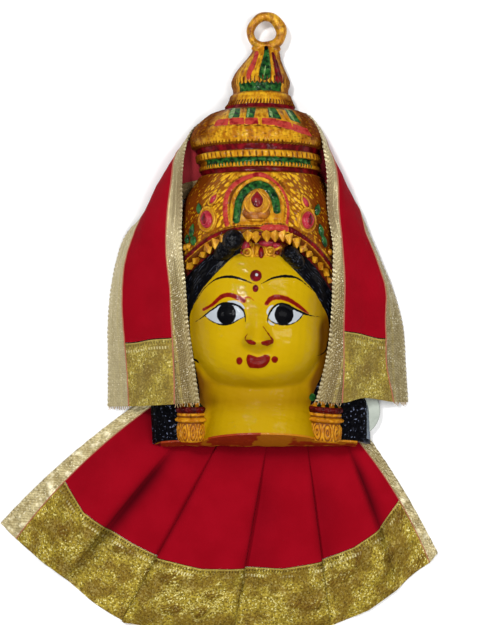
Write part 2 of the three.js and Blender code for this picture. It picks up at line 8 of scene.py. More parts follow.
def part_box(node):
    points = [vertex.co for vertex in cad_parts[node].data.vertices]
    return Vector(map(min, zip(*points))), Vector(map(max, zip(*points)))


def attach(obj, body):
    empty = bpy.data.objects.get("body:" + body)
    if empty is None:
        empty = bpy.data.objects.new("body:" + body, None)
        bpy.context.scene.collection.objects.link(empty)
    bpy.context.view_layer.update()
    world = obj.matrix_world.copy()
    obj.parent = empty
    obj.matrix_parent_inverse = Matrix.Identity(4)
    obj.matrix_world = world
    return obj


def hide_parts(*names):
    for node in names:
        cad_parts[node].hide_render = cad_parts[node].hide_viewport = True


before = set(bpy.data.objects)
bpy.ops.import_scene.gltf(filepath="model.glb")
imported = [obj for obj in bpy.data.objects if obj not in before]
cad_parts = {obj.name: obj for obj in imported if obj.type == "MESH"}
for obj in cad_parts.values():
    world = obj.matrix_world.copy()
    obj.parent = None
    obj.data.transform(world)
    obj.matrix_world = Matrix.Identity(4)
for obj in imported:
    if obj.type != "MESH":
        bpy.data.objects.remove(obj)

# A cast and painted goddess mask in a red veil and a pleated red skirt, lying on its back.
# Sizes are millimetres in the casting's own measure: x across from its middle, y up from its base,
# z forward from its back rim. Heights of cloth are taken from the table, RIM_LIFT below that rim.
MM = 0.001
RIM_LIFT = 4.2
BARE_EDGE_REACH = 72.4  # from the middle to the casting's furthest point on the right
FACE_X = -2  # the face's own middle
mask_low, mask_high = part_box("mask")
ORIGIN = np.array([mask_high.x - BARE_EDGE_REACH * MM, mask_low.y, mask_low.z])
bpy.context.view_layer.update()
FAR = 9.0  # signed distances to paint stop here
PAINTS = ("hair", "skin", "orange", "lid_red", "pink", "red", "green", "painted_highlight", "brown", "white", "black")

# The casting's outline and sections, as rows of a height and the measure there.
WALL = 2.8
CAVITY_TOP = 188  # the hollow is closed at the back above this
BASE_SLANT, SLANT_TOP = 0.3, 34  # the base rises towards its front, less and less up to that height
TIERS_FROM = 157.1
LEAN = [
    (0, 0.4), (40, -1.6), (75, -2), (140, -2.2), (150, -1.2), (158, -0.3), (164, -0.6), (172, -2),
    (186, -2.6), (194, -1.5), (200, -0.1), (219, -0.1), (225, 1), (231, 2.8), (235, 3.6),
]
HEAD_HALF_WIDTH = [(0, 64.5), (22, 64.5), (36, 59), (52, 53), (75, 50), (95, 47), (112, 45), (240, 10)]
HEAD_DEPTH = [(0, 17), (22, 19), (40, 25), (60, 29), (90, 33), (112, 37), (240, 8)]
NECK_HALF_WIDTH = [(0, 37), (12, 34.5), (24, 34), (36, 35.5), (60, 36)]
NECK_DEPTH = [(0, 33), (14, 30), (34, 31), (60, 30)]
FACE = {"half_width": 42, "depth": 45, "widest": 70, "chin": 33, "top": 112, "brow_fall": 7}
FACE_AT = {"eyes": 76.8, "cheeks": 62, "chin": 41, "crease": 33.5}
CHEEKS_X = (-24, 19)
BROW = {"y": 88, "half_width": 50, "rise": 34.5, "start": -4}  # where the crown begins over the forehead
CROWN_OUTLINE = [
    (100, 46.2), (117, 46), (130, 45), (138, 43.9), (143, 43), (147, 41.4), (151, 39.4), (154.5, 37.2),
    (157.2, 36), (157.8, 34.4), (160, 34.4), (160.5, 36), (162.6, 36), (163, 35), (165.2, 35),
    (165.8, 37.1), (169.4, 37.3), (170, 35.4), (173.3, 36), (174, 38.6), (177, 39.4), (180.5, 39.4),
    (184, 37.8), (187.3, 35.6), (190.5, 33), (193.7, 29.2), (195.4, 25.6), (195.9, 21), (198.4, 20.6),
    (198.9, 20.9), (201.2, 19.4), (202, 19.2), (205.4, 17.8), (206.2, 16.4), (209, 16.4), (211.4, 17.3),
    (214, 17.4), (218.3, 15.6), (221.3, 13.8), (224.3, 12), (227.3, 10.1), (230.4, 8.7), (233.6, 7.6),
    (235.2, 5.6), (235.9, 2.8), (236, 0.2),
]
# Rows of the casting's mesh: from height to height, and how far apart.
ROWS = [(0, 31, 0.8), (31, 112, 0.57), (112, 158, 0.52), (158, 210, 0.5), (210, 236, 0.6)]
OUTER_COLUMNS = 214
INNER_COLUMNS = 20

# Paint on the face, as brush strokes of (x, y, half width) and outlines of (x, y).
HAIRLINE = [
    (-15.8, 109), (-20.7, 104.5), (-24.6, 100.6), (-29.7, 95.1), (-33.7, 90.2), (-37.3, 84), (-40.3, 77.8),
    (-40.9, 73), (-40.6, 65.3), (-39.4, 56.3), (-38.6, 50), (-37, 42), (-35.6, 34), (-35.4, 26),
    (-34.4, 18), (-34.6, 8), (-38, -6), (34, -6), (30.5, 8), (28.6, 18), (28.8, 26), (31, 33.5), (34, 40),
    (37.2, 48), (38.8, 57), (39.6, 66), (38.7, 73), (37.5, 77), (34.9, 81.5), (32, 86.4), (28.4, 91.2),
    (23.8, 96), (18.8, 101.2), (15.2, 105), (10.6, 109.4), (4, 112), (-8, 112),
]
EYEBROWS = [
    [(-37.6, 83.5, 0.15), (-34.9, 87.4, 0.17), (-32, 91.3, 0.2), (-28, 94.8, 0.32), (-24.6, 96.8, 0.5),
     (-21.2, 97.7, 0.66), (-17.9, 97.9, 0.76), (-14, 97.3, 0.7), (-10.7, 96.3, 0.6), (-7.4, 95, 0.42),
     (-4.1, 93.8, 0.15)],
    [(-0.2, 93.7, 0.16), (3.1, 95.5, 0.38), (5.9, 96.9, 0.55), (9.2, 97.7, 0.66), (12.6, 98.1, 0.76),
     (15.9, 98, 0.76), (19.3, 97.3, 0.56), (22.7, 95.4, 0.38), (26.1, 92.6, 0.28), (29.8, 89.7, 0.15)],
]
LID_STROKES = [
    [(-32.3, 79.6, 0.85), (-29.6, 80.9, 0.7), (-26.8, 82.7, 0.85), (-24, 85.4, 1.05), (-21.8, 86.9, 1.15),
     (-19, 87.6, 1.15), (-15.6, 87.1, 1.2), (-12.6, 85.8, 1.25), (-9.8, 84.3, 1.1)],
    [(2.8, 82.8, 1), (4.7, 85.1, 1.2), (7.5, 86.3, 1.25), (10.8, 86.2, 1.25), (14.2, 85.3, 1.2),
     (17.5, 83.6, 1.05), (20.3, 81.7, 1), (23.2, 79.5, 0.85), (26, 77.4, 0.35)],
]
LID_SMUDGE = [(-9.6, 86, 0.5), (-6.6, 86.2, 0.6), (-3.6, 83.9, 0.3)]
LASHES = [
    [(-37.2, 72.5, 0.16), (-34.3, 74.2, 0.26), (-31.4, 76.2, 0.38), (-28.5, 78.4, 0.45),
     (-25.7, 80.3, 0.5), (-23.4, 82.1, 0.55), (-20.6, 83.1, 0.6), (-17.9, 82.9, 0.6), (-14.5, 82.3, 0.6),
     (-11.8, 80.9, 0.6), (-9.8, 78.7, 0.55), (-8.9, 75.6, 0.36), (-8.7, 72.6, 0.16)],
    [(-31.4, 76, 0.25), (-29.1, 73.9, 0.25), (-26.2, 72.3, 0.32), (-23.4, 71.3, 0.42), (-20.6, 70.9, 0.48),
     (-17.8, 71.2, 0.42), (-15.1, 72.3, 0.32), (-12.3, 74, 0.26), (-9.3, 75.4, 0.2)],
    [(3.1, 71.8, 0.16), (3.4, 75.1, 0.36), (4.2, 77.3, 0.48), (5.8, 79.8, 0.55), (8.1, 82, 0.55),
     (10.8, 82.7, 0.6), (14.2, 82, 0.6), (17.5, 80, 0.6), (20.9, 78.4, 0.6), (23.7, 77.2, 0.62),
     (26.6, 76.3, 0.42), (29.5, 75.7, 0.26), (32.9, 75.5, 0.14)],
    [(3.9, 74.3, 0.25), (5.8, 72.6, 0.3), (8.6, 71.4, 0.36), (11.9, 70.9, 0.36), (15.3, 71.1, 0.36),
     (18.6, 72.3, 0.3), (20.9, 74.2, 0.3), (22.9, 76.7, 0.3)],
]
EYE_WHITES = [
    [(-31.4, 76.1), (-28.5, 78.2), (-25.5, 80.3), (-22, 82.4), (-17.5, 82.8), (-12.8, 81.3), (-10, 78.6),
     (-9.2, 75.4), (-12.3, 74), (-16, 71.9), (-20.6, 71), (-26.2, 72.4)],
    [(3.6, 75), (4.6, 77.5), (7, 80.9), (10.8, 82.6), (15, 81.5), (19, 79.2), (23.2, 77), (20.9, 74.2),
     (17, 71.7), (12, 71), (7, 72)],
]
WHITE_TOUCHES = [
    [(-18.4, 83.9, 0.35), (-15.1, 83.7, 0.8), (-11.8, 82.2, 0.9), (-9.6, 80.2, 0.45)],
    [(3.4, 76.7, 0.3), (3.2, 78.4, 0.6), (4.5, 80.6, 0.6), (6.2, 81.7, 0.35)],
    [(3.4, 73, 0.35), (4.9, 71.6, 0.6), (6.7, 70.9, 0.35)],
]
# Painted highlights on the forehead dot and on the drop below it.
DOT_HIGHLIGHTS = [(-2.7, 98.9, 0.85), (-3.1, 91.6, 0.35)]
IRISES = [(-19.1, 77, 5.2, 6), (12.2, 76.7, 5.15, 5.9)]
LIPS = [
    (-8.3, 51.9), (-7.9, 53.8), (-7.2, 54.4), (-5.6, 54.1), (-3.9, 53.3), (-1.9, 52.9), (-0.3, 53.4),
    (1.6, 54.2), (3.3, 54.2), (4.6, 53.1), (4.6, 51.6), (3.8, 49.8), (2.6, 48.3), (1, 47.2), (-1.2, 46.7),
    (-3.9, 46.7), (-6.1, 47), (-7.2, 47.9), (-8, 49.8),
]
LIP_PARTING = [(-7.6, 52.3, 0.12), (-4.1, 51.1, 0.2), (-2, 50.4, 0.22), (0.3, 51.1, 0.2), (4, 52.4, 0.12)]
CHIN_DOTS = [(-12.3, 50.8, 1.75, 2.2), (7.4, 51.6, 1.85, 1.95)]
NOSE_LINES = [
    [(-7.6, 65.9, 0.24), (-8.7, 63.8, 0.32), (-8.2, 62.2, 0.38)],
    [(0.6, 70.1, 0.32), (2.6, 67.3, 0.38), (4.5, 64.6, 0.48), (5.9, 62.7, 0.62), (5.8, 61.3, 0.66)],
    [(-7.3, 62.2, 0.8), (-5.6, 61.5, 1.35), (-3.9, 60.8, 1)],
    [(0.6, 61, 1.1), (2.5, 61, 1.7), (4.7, 61.5, 1.3)],
]
FOREHEAD_DOT = (-3.1, 98.3, 3.3)
DROP = (-3.3, 91.2, 1.7, 2.1)
NECK_LEAF = (29.4, 28.6, 1.8, 2.5)
SIDE_CURLS = [
    [(-40.5, 51.3, 0.6), (-38.4, 50.8, 0.6), (-36.9, 50.1, 0.6), (-35.8, 48.9, 0.25)],
    [(38.6, 61.3, 0.5), (37.7, 56.8, 0.42), (35.2, 54.1, 0.3), (31.5, 53, 0.12)],
]
NOSE = {"tip": 61.5, "bridge": 88, "rise": 7.6, "wing_x": 4.9, "wing_y": 60.8}

# Ornament of the crown: the line of its brow band, and heights of its tiers.
BROW_BAND = {"lower_line": 7.3, "depth": 8.2}
TIERS = {
    "lowest_red": (157.4, 160.4), "bead_bed": (173.2, 174.8), "engraving": (176, 184.2),
    "rays": (185, 195.6), "upper_red": (195.6, 198.5), "notches": (198.3, 201.4), "bell": (214, 230),
}
BROW_LINE = [
    (-55, 92), (-50.5, 100.5), (-44.4, 107.6), (-39.2, 112), (-33.2, 116.7), (-26.1, 120.8), (-18, 123.6),
    (-10, 124.7), (-1, 124.6), (5, 125), (12, 124.8), (18.5, 122.8), (25.5, 118.5), (32.1, 112.9),
    (38, 106.5), (43.5, 99), (48, 91),
]
ARCH_PINK = [
    (-19.2, 127), (-20, 132), (-20.1, 138), (-19.3, 143), (-17.4, 147), (-14.2, 150.4), (-10, 153),
    (-4.4, 155), (-1.6, 155.4), (1.4, 154.8), (6, 152.4), (9.7, 148.8), (12.6, 144.2), (14.3, 139.1),
    (14.7, 133.3), (13.9, 127.6),
]
ARCH_GOLD = [
    (-16.6, 127.5), (-16.9, 133), (-16.2, 139.6), (-13.8, 145.6), (-10, 149.8), (-5.6, 152.6),
    (-1.6, 153.6), (3, 152.2), (6.9, 148.8), (10, 144.4), (11.8, 139), (12, 133), (11.4, 128),
]
ARCH_GREEN = [
    (-13.9, 129.5, 2.1), (-13.4, 134, 2.2), (-12.4, 140, 2.2), (-10, 144.6, 2.3), (-6.4, 148, 2.4),
    (-1.8, 149.5, 2.4), (2.6, 148.2, 2.3), (5.9, 144.6, 2.3), (7.8, 139.8, 2.3), (8.6, 134.8, 2.1),
]
ARCH_OUTER = [(0, 157.5), (6, 156), (12, 153), (17, 148.6), (20.4, 143.4), (21.6, 138), (21.4, 132)]
ARCH_OUTER_LEFT = [(-5, 157.5), (-11, 156.2), (-16.6, 153), (-21.4, 148.4), (-24.4, 143.4)]
# Each raised arch with its half width, height, and the pitch of its beads.
ARCHES = [
    (ARCH_PINK, 1.6, 0.9, 2.1), (ARCH_GOLD, 0.8, 1.1, 0),
    (ARCH_OUTER, 2.3, 1.1, 1.9), (ARCH_OUTER_LEFT, 1.6, 0.9, 1.9),
]
PETALS = [
    [(-17.4, 194.8), (-11.7, 194.6), (-12.4, 188), (-18.8, 188.4)],
    [(-8, 194.8), (-2.9, 194.8), (-4.2, 187.6), (-8.8, 187.8)],
    [(3.5, 194.8), (8, 194.8), (11.6, 187), (4.3, 187.9)],
    [(13.4, 194.2), (17.8, 194), (23, 185.6), (16.6, 187)],
]
CROWN_PATCHES = [
    [(-25.2, 187.4), (-18.8, 187.6), (-19.2, 183.9), (-27, 184)],
    [(-17.7, 187.6), (-10.2, 187.4), (-9.9, 184), (-18, 183.9)],
    [(-8.9, 187), (-2.2, 187.3), (-1.9, 183.9), (-8.9, 183.8)],
    [(0.6, 187.2), (8, 187), (8.9, 183.3), (0.7, 183.9)],
    [(9.3, 186.3), (16.6, 185.3), (17.8, 181.2), (9.7, 182.9)],
    [(18, 184.6), (26.2, 182.6), (28.6, 178.8), (18.8, 180.5)],
]
BELL_RED = [
    [(-2.4, 230, 1.2), (-4.2, 223.6, 1.6), (-6.7, 217.5, 1.7), (-7.6, 213.6, 1.2)],
    [(7, 229.4, 1), (8.9, 222.8, 1.5), (10, 216.7, 2), (10.5, 212.6, 2.3)],
]
BELL_MARK = (3, 232.6, 1.2, 1.6)
BELL_GREEN = [(3.2, 231.5, 1.3), (3.1, 226, 2.1), (2.6, 220, 3.2), (2.2, 215.5, 3.5)]
# Painted highlights on the petals and on the bell's green leaf, as strokes (x, y, half width).
HIGHLIGHT_STROKES = [
    [(-15.8, 194.4, 1), (-16.8, 191, 1.3), (-17.4, 188.8, 1)],
    [(-7, 194, 0.5), (-7.4, 190.6, 0.7), (-7.8, 188.4, 0.5)],
    [(4.6, 194, 0.5), (5.6, 190.6, 0.8), (6.2, 188.4, 0.5)],
    [(15.4, 193.6, 0.4), (17.6, 189.6, 0.8), (19, 187, 0.4)],
    [(2.6, 221, 0.2), (2, 217.6, 0.6), (1.6, 215, 0.3)],
]
PENDANT_PLATE = [
    (-10.6, 120), (-11.4, 114), (-10.4, 109.9), (-4, 108.9), (4, 109), (10.6, 110), (11.4, 113), (15, 118),
    (2, 122),
]
HAIR_ENDS = [
    (-15.7, 118.8, 6, 6.2, 7.8), (-19.6, 113.8, 5.3, 9, 6.6), (16.2, 110.2, 4.8, 5.4, 7.6),
    (18.8, 107.2, 4.3, 6.4, 6.8),
]

# Small parts of the casting.
TOOTH_PITCH, TOOTH_INSET = 5.1, 4.1
RING_AT, RING_RADIUS, RING_THICKNESS = (3.4, 242.8, 4.2), 9.1, 2.85
RING_FOOT_AT, RING_FOOT = (3.1, 232.9, 4.2), (8.6, 4, 2.8)
JEWEL_AT = (-2.6, 138.7)
FLOWERS = [(-30, 130.2, 0.25), (25, 129.7, -0.3)]  # x, y, turn
SMALL_STONES = [(-26.6, 141.8, -0.7, 1), (24.6, 140, 0.6, 1.05)]  # x, y, turn, size
LEAVES = [  # x, y, half width, half height, turn
    (-35, 136.8, 2.2, 3.6, 0.5), (-39.3, 124.4, 2.1, 4.2, -0.3), (-38.4, 118.8, 2.8, 3.2, 1),
    (-42, 120, 2, 3, 0.4),
    (31.6, 136.4, 2.2, 3.8, -0.6), (33.6, 124.6, 2.2, 4, 0.4), (35.6, 118.6, 2.3, 4.2, 0.7),
]
TEMPLE_BEADS = [(-43.5, 115.2), (-41, 115.6), (39.2, 112.6)]
DROPS = [  # piece, x, y, half width, half height, turn
    ("jewel_settings", -4.4, 112.8, 1.4, 4.2, 0), ("red_stones", -0.4, 111.6, 1.7, 3.6, 0),
    ("pink_stones", 4.2, 116.8, 6, 2.6, -0.1), ("pink_stones", 9.2, 115, 4, 2.2, -0.45),
    ("pink_stones", -8.6, 114.6, 2.6, 4.2, 0), ("jewel_settings", -6.2, 116.6, 1, 2.6, 0.4),
    ("jewel_settings", 9, 114, 1, 2.8, -0.9), ("jewel_settings", 2.4, 112.6, 1, 2.6, 0.3),
]
SCROLLS = [(-7.8, 111.3, 2.1), (4.9, 112, 2.3)]
BEADS = {  # x, y, radius
    "jewel_settings": [
        (-8.4, 117, 1.3), (-7.8, 111.3, 1.2), (-3.9, 119.2, 1.5), (-10.2, 114.6, 1.2), (4.9, 112, 1.3),
        (7.6, 114.6, 1.3), (10.6, 114.2, 1.4), (2.6, 110.2, 1.2), (7, 110, 1.3), (-2.6, 109.9, 1.2),
        (-5.4, 109.9, 1.2), (-6.5, 120.4, 1.5),
    ],
    "red_stones": [(-7.8, 114.4, 1.9), (9, 111.5, 1.6), (-1, 121.4, 1.5)],
    "pink_stones": [(-10.7, 111.6, 1.2)],
}
FLANGE_AT, FLANGE_SIZE = (56.5, 20, 1.2), (13.9, 15, 2.2)
EARRINGS = [(-40.4, 0.92, 0), (36.6, 1.1, -0.08)]  # x, size, tilt
EARRING_Z = 14
EARRING_OUTLINE = [
    (0.2, 2.6), (5.6, 2.6), (7.6, 3.4), (8.4, 5.2), (8.8, 8), (8.9, 11), (8.3, 13.6), (8.6, 14.3),
    (9.9, 15), (10.2, 16), (9.2, 17), (8.6, 17.6), (9, 18.4), (9.1, 19.2), (8.6, 19.9), (9.3, 20.5),
    (9.9, 21.8), (9.3, 23.2), (8.2, 24), (7.4, 25), (7.2, 27), (5.6, 29.4), (3.2, 31), (0.2, 31.4),
]

# Cloth.
FRONT_SEAM, BACK_SEAM = 0.22, 0.78  # shares of the veil's width where its laces meet the cloth
VEIL_AT = (0, FRONT_SEAM, 0.5, BACK_SEAM, 1)  # shares of its width that VEIL_LEFT and VEIL_RIGHT follow
VEIL_GAP, VEIL_END_GAP = 0.12 / 56.5, 0.0006  # between its pieces, as shares of its width and its length
LEFT_END, RIGHT_END = 0.0775, 0.9225  # shares of its length where the brocade ends
VEIL_LOWEST, SKIRT_LOWEST = 0.7, 0.4
CLOTH_ROWS, LACE_ROWS = 44, 22
CLOTH_THICKNESS, LACE_THICKNESS, SKIRT_THICKNESS = 0.7, 0.8, 0.6
VEIL_LEFT = [
    [(-35.5, 26.7, 31.5), (-39.4, 52.4, 27.5), (-42.4, 74.6, 27), (-43.8, 95.5, 28.5),
     (-45.8, 117.4, 28.5), (-45.9, 137, 25), (-45.8, 157.2, 22), (-44.8, 171, 15), (-42.6, 181, 8.5),
     (-39.2, 187.3, 2.9), (-30, 193.5, 1.5), (0, 197, 1.3)],
    [(-49.6, 25.4, 30), (-50, 47.7, 29), (-51.2, 70, 29), (-52.1, 90.7, 28.5), (-54.4, 113.6, 29),
     (-53.7, 134, 30), (-51.4, 154, 27), (-50, 168, 18), (-46, 175.6, 9), (-42.2, 180.2, 2.9),
     (-28, 184.2, 1.5), (0, 184.6, 1.3)],
    [(-64.3, 24, 21), (-64.4, 47.5, 21.5), (-65.3, 70, 21), (-65.9, 90.8, 21), (-65.6, 113.8, 24),
     (-63.6, 134, 23), (-61.4, 147, 18), (-59.6, 153.4, 10), (-54.5, 159.4, 4.2), (-48, 163.4, 2.2),
     (-32, 168.6, 1.4), (0, 170, 1.3)],
    [(-77.4, 22.7, 9), (-78.5, 46.4, 11), (-80.5, 69.9, 12), (-80.9, 91, 12), (-78.3, 110, 13),
     (-74.4, 123, 13), (-71, 131, 11), (-68.6, 136, 7), (-64, 143, 3.8), (-56, 150, 2.2),
     (-38, 156.3, 1.4), (0, 158, 1.3)],
    [(-90.3, 22, 1.6), (-90.1, 46, 1.6), (-90.3, 69.8, 1.6), (-88.6, 91.2, 1.8), (-84.8, 110, 2.4),
     (-81, 121, 3.4), (-76.6, 127.4, 4.6), (-71.8, 131.2, 4.4), (-66.5, 135.4, 2.8), (-57, 141.5, 1.8),
     (-38, 146.7, 1.3), (0, 148, 1.3)],
]
VEIL_RIGHT = [
    [(31.5, 27.3, 31.5), (37.8, 52.7, 27.5), (40.4, 73.5, 26.5), (41.2, 95.5, 28), (41.4, 116.8, 28),
     (38.8, 136.3, 25), (38.6, 154.1, 25), (37, 168, 22), (35.2, 180, 18), (31.6, 189, 10.5),
     (25.6, 195.8, 2.9), (0, 197, 1.3)],
    [(46.3, 26.2, 30), (47.2, 50.5, 29), (47.2, 70.6, 28.5), (47.8, 93.6, 28), (46.6, 114.7, 28.5),
     (44.4, 136.3, 30), (43.8, 153.6, 28), (42.4, 165, 22), (39, 174, 15), (37.6, 180.4, 7),
     (35, 184.4, 2), (0, 184.6, 1.3)],
    [(59.7, 28.2, 19), (59.5, 49.1, 20.5), (59.6, 69.4, 20), (58.4, 92, 20.5), (56, 113.9, 22),
     (53, 134, 22), (51.4, 146, 18), (49.4, 154, 11), (45.6, 160, 4.4), (40, 164, 2.2), (28, 168.6, 1.4),
     (0, 170, 1.3)],
    [(78, 25.1, 8), (73.6, 46.4, 10), (72.9, 69.3, 12), (72.3, 92.1, 13), (66, 112, 14), (60.6, 125.6, 13),
     (58.8, 133, 11), (57, 139.6, 7), (53, 146, 3.6), (47, 151, 2.2), (34, 156, 1.4), (0, 158, 1.3)],
    [(86.9, 24.6, 1.6), (85.5, 46.6, 1.6), (83.8, 69.8, 1.8), (77.5, 92.3, 3), (70, 110, 4.6),
     (64.6, 122.4, 5), (61.6, 129.4, 4.8), (58.8, 134, 4.2), (54, 138.6, 2.8), (48, 142, 1.8),
     (34, 146, 1.3), (0, 148, 1.3)],
]

# The skirt's lines from the waist seam behind the mask to the hem: waist, hem, share where brocade starts.
SKIRT_LINES = [
    ((-67.6, 27.6), (-154.6, -47.4), 0.62), ((-61, 24.6), (-145.4, -56.8), 0.62),
    ((-52, 19), (-128, -71.5), 0.67), ((-39, 14), (-115.7, -79.9), 0.68),
    ((-16.6, 14), (-81.2, -105.4), 0.68), ((-5.6, 14), (-48, -112.6), 0.69),
    ((5.4, 14), (-17.7, -112.8), 0.69), ((15.2, 14), (12, -112.8), 0.69), ((25, 14), (40.5, -109), 0.68),
    ((35.7, 14), (64, -99), 0.665), ((44, 14), (81.1, -86.7), 0.65), ((48.6, 12), (100.2, -71), 0.58),
    ((60.1, 9.2), (105, -65), 0.58),
]
# Along the waist: line of the skirt, height at the waist, height at the hem, puff half way down.
SKIRT_STATIONS = [
    (1, 0.5, 0.6, 0), (1.35, 0.9, 1.2, 2), (1.8, 1.2, 1.9, 4.2), (2.3, 1.4, 2.4, 5.6),
    (2.7, 1.4, 2.4, 5.6), (2.92, 1.3, 2, 4.4), (3.02, 1, 1.3, 2.8), (3.12, 0.7, 0.8, 1),
    (3.35, 0.6, 0.6, 0.5), (3.7, 0.5, 0.5, 0.3), (4, 0.5, 0.5, 0.1), (4.24, 0.5, 0.5, 0.1),
    (4.27, 1.1, 1.2, 0.3), (4.04, 1.5, 1.9, 1.8), (3.975, 1.9, 2.4, 3), (3.985, 2.2, 2.8, 4),
    (4.06, 2.4, 3.1, 4.9), (4.25, 2.5, 3.2, 5.7), (4.6, 2.5, 3, 6.2), (5.1, 2.5, 2.9, 6.2),
    (5.6, 2.5, 3.1, 5.8), (5.88, 2.5, 3.1, 5), (6.01, 2.3, 2.8, 4), (6.035, 1.9, 2.3, 2.8),
    (5.97, 1.5, 1.7, 1.4), (5.76, 1.1, 1.2, 0.3), (5.74, 0.5, 0.5, 0.1), (6, 0.5, 0.5, 0.2),
    (6.25, 0.6, 0.7, 1), (6.6, 0.9, 1.3, 3), (7, 1.4, 1.9, 4.6), (7.45, 1.9, 2.5, 5.2),
    (7.8, 2.1, 2.8, 4.8), (7.99, 2.1, 2.6, 3.6), (8.03, 1.8, 2.1, 2.4), (7.97, 1.4, 1.5, 1.2),
    (7.76, 1.1, 1.1, 0.3), (7.74, 0.5, 0.5, 0.1), (8, 0.5, 0.5, 0.2), (8.25, 0.6, 0.6, 0.9),
    (8.6, 0.8, 1.1, 2.8), (9, 1.1, 1.6, 4.2), (9.45, 1.3, 2, 4.6), (9.8, 1.3, 2, 4.2), (9.98, 1, 1.5, 2.6),
    (10.1, 0.7, 0.9, 1.3), (10.4, 0.6, 0.7, 1.1), (10.75, 0.6, 0.6, 0.8), (11, 0.5, 0.5, 0),
]
SKIRT_BOWS = [
    (0, 3.4), (1, 4.8), (2, 2.4), (3, 0.8), (4, 0), (8, 0), (9, 0.4), (10, 2.2), (11, 4.5), (12, 1.9),
]
SKIRT_PARTS = {"cloth": 90, "hem": 60, "whole": 500}  # rows of the mesh from waist to hem
HEM_GAP = 0.003
SKIRT_LACE_HEIGHTS = [(0.5, 0.5, 0), (0.7, 0.8, 0.2), (0.5, 0.5, 0)]

# Camera and lamps; each lamp has its place in metres, size and power.
CAMERA_HEIGHT = 750
CAMERA_OVER = (-6.4, 77.8)
PICTURE_HEIGHT = 625 * 0.595  # what the picture's long side spans on the table
SENSOR = 36
LAMPS = [
    ("key", (-0.3, 0.36, 0.95), 0.14, 5.5),
    ("fill", (0.5, 0.1, 0.9), 0.4, 4.0),
    ("front", (0.0, -0.42, 0.9), 0.3, 2.8),
    ("glint_left", (-0.22, 0.46, 0.9), 0.03, 0.5),
    ("glint_side", (-0.85, 0.12, 0.7), 0.04, 0.6),
    ("glint_right", (0.3, 0.34, 0.9), 0.03, 0.45),
    ("glint_low", (-0.2, -0.34, 0.9), 0.03, 0.45),
]
LAMPS_AIM = (0.018, 0, 0.02)


# Curves and signed distances on arrays of points.
def table(rows, at, soften=0.0):
    places, values = np.array(rows, float).T
    if not soften:
        return np.interp(at, places, values)
    shifts = np.linspace(-soften, soften, 9)
    weights = np.cos(shifts / soften * math.pi / 2) ** 2 + 1e-9
    return sum(w * np.interp(at + s, places, values) for w, s in zip(weights, shifts)) / weights.sum()


def smooth(start, end, x):
    t = np.clip((x - start) / (end - start), 0, 1)
    return t * t * (3 - 2 * t)


def bump(x, width):
    return np.exp(-((x / width) ** 2))


def rounded_max(a, b, blend):
    h = np.clip(0.5 + 0.5 * (a - b) / blend, 0, 1)
    return b + (a - b) * h + blend * h * (1 - h)


def waver(x, y, period, seed=0):
    """A smooth uneven wave between -1 and 1."""
    total = 0
    for k in range(4):
        turn = 1.3 * k + 2.1 * seed + 0.4
        stretch = (1 + 0.37 * k) * 2 * math.pi / period
        total = total + np.sin(stretch * (x * math.cos(turn) + y * math.sin(turn)) + 1.7 * k + seed)
    return total / 4


def smooth_line(points, per=6, closed=False):
    """A curve through the points, of any number of columns."""
    p = np.array(points, float)
    ends = (p[-1:], p[:2]) if closed else (2 * p[:1] - p[1:2], 2 * p[-1:] - p[-2:-1])
    p = np.concatenate([ends[0], p, ends[1]])
    pieces = []
    for a, b, c, d in zip(p[:-3], p[1:-2], p[2:-1], p[3:]):
        t = np.linspace(0, 1, per, endpoint=False)[:, None]
        square, cube = 2 * a - 5 * b + 4 * c - d, 3 * b - a - 3 * c + d
        pieces.append(0.5 * (2 * b + (c - a) * t + square * t**2 + cube * t**3))
    line = np.concatenate(pieces)
    return np.concatenate([line, line[:1] if closed else p[-2:-1]])


def near_line(x, y, line, reach):
    """Which points lie near the line, and for those: how far off it, the same with a sign that is
    positive to the left of travel, how far along it, and its half width there."""
    low, high = line[:, :2].min(0) - reach, line[:, :2].max(0) + reach
    near = (x > low[0]) & (x < high[0]) & (y > low[1]) & (y < high[1])
    px, py = x[near], y[near]
    away = np.full(px.shape, 1e9)
    side, along, width = np.full(px.shape, FAR), np.zeros(px.shape), np.zeros(px.shape)
    travelled = 0.0
    for a, b in zip(line[:-1], line[1:]):
        step = b[:2] - a[:2]
        length = math.hypot(*step)
        if length < 1e-6:
            continue
        t = np.clip(((px - a[0]) * step[0] + (py - a[1]) * step[1]) / length**2, 0, 1)
        dx, dy = px - a[0] - t * step[0], py - a[1] - t * step[1]
        distance = np.hypot(dx, dy)
        closer = distance < away
        away[closer] = distance[closer]
        side[closer] = (np.sign(step[0] * dy - step[1] * dx) * distance)[closer]
        along[closer] = travelled + t[closer] * length
        if line.shape[1] > 2:
            width[closer] = a[2] + t[closer] * (b[2] - a[2])
        travelled += length
    return near, away, side, along, width


def filled(near, values, rest):
    """A field that holds the values where near is true and rest elsewhere."""
    field = np.full(near.shape, float(rest))
    field[near] = values
    return field


def stroke(x, y, points):
    """Millimetres inside a brush stroke, negative outside it."""
    line = smooth_line(points)
    near, away, _, _, width = near_line(x, y, line, line[:, 2].max() + 3)
    return filled(near, np.maximum(width - away, -FAR), -FAR)


def strokes(x, y, lines):
    return union(*[stroke(x, y, line) for line in lines])


def patch(x, y, outline, per=5):
    """Millimetres inside a closed outline, negative outside it; per 1 keeps its corners."""
    line = smooth_line(outline, per, closed=True)
    near, away, _, _, _ = near_line(x, y, line, 4)
    px, py = x[near], y[near]
    inside = np.zeros(px.shape, bool)
    for a, b in zip(line[:-1], line[1:]):
        crosses = (a[1] > py) != (b[1] > py)
        with np.errstate(divide="ignore", invalid="ignore"):
            inside ^= crosses & (px < (b[0] - a[0]) * (py - a[1]) / (b[1] - a[1]) + a[0])
    return filled(near, np.clip(np.where(inside, away, -away), -FAR, FAR), -FAR)


def spot(x, y, place):
    """Millimetres inside an oval (x, y, half width, half height)."""
    cx, cy, rx, ry = place if len(place) == 4 else (*place, place[2])
    return np.maximum((1 - np.hypot((x - cx) / rx, (y - cy) / ry)) * min(rx, ry), -FAR)


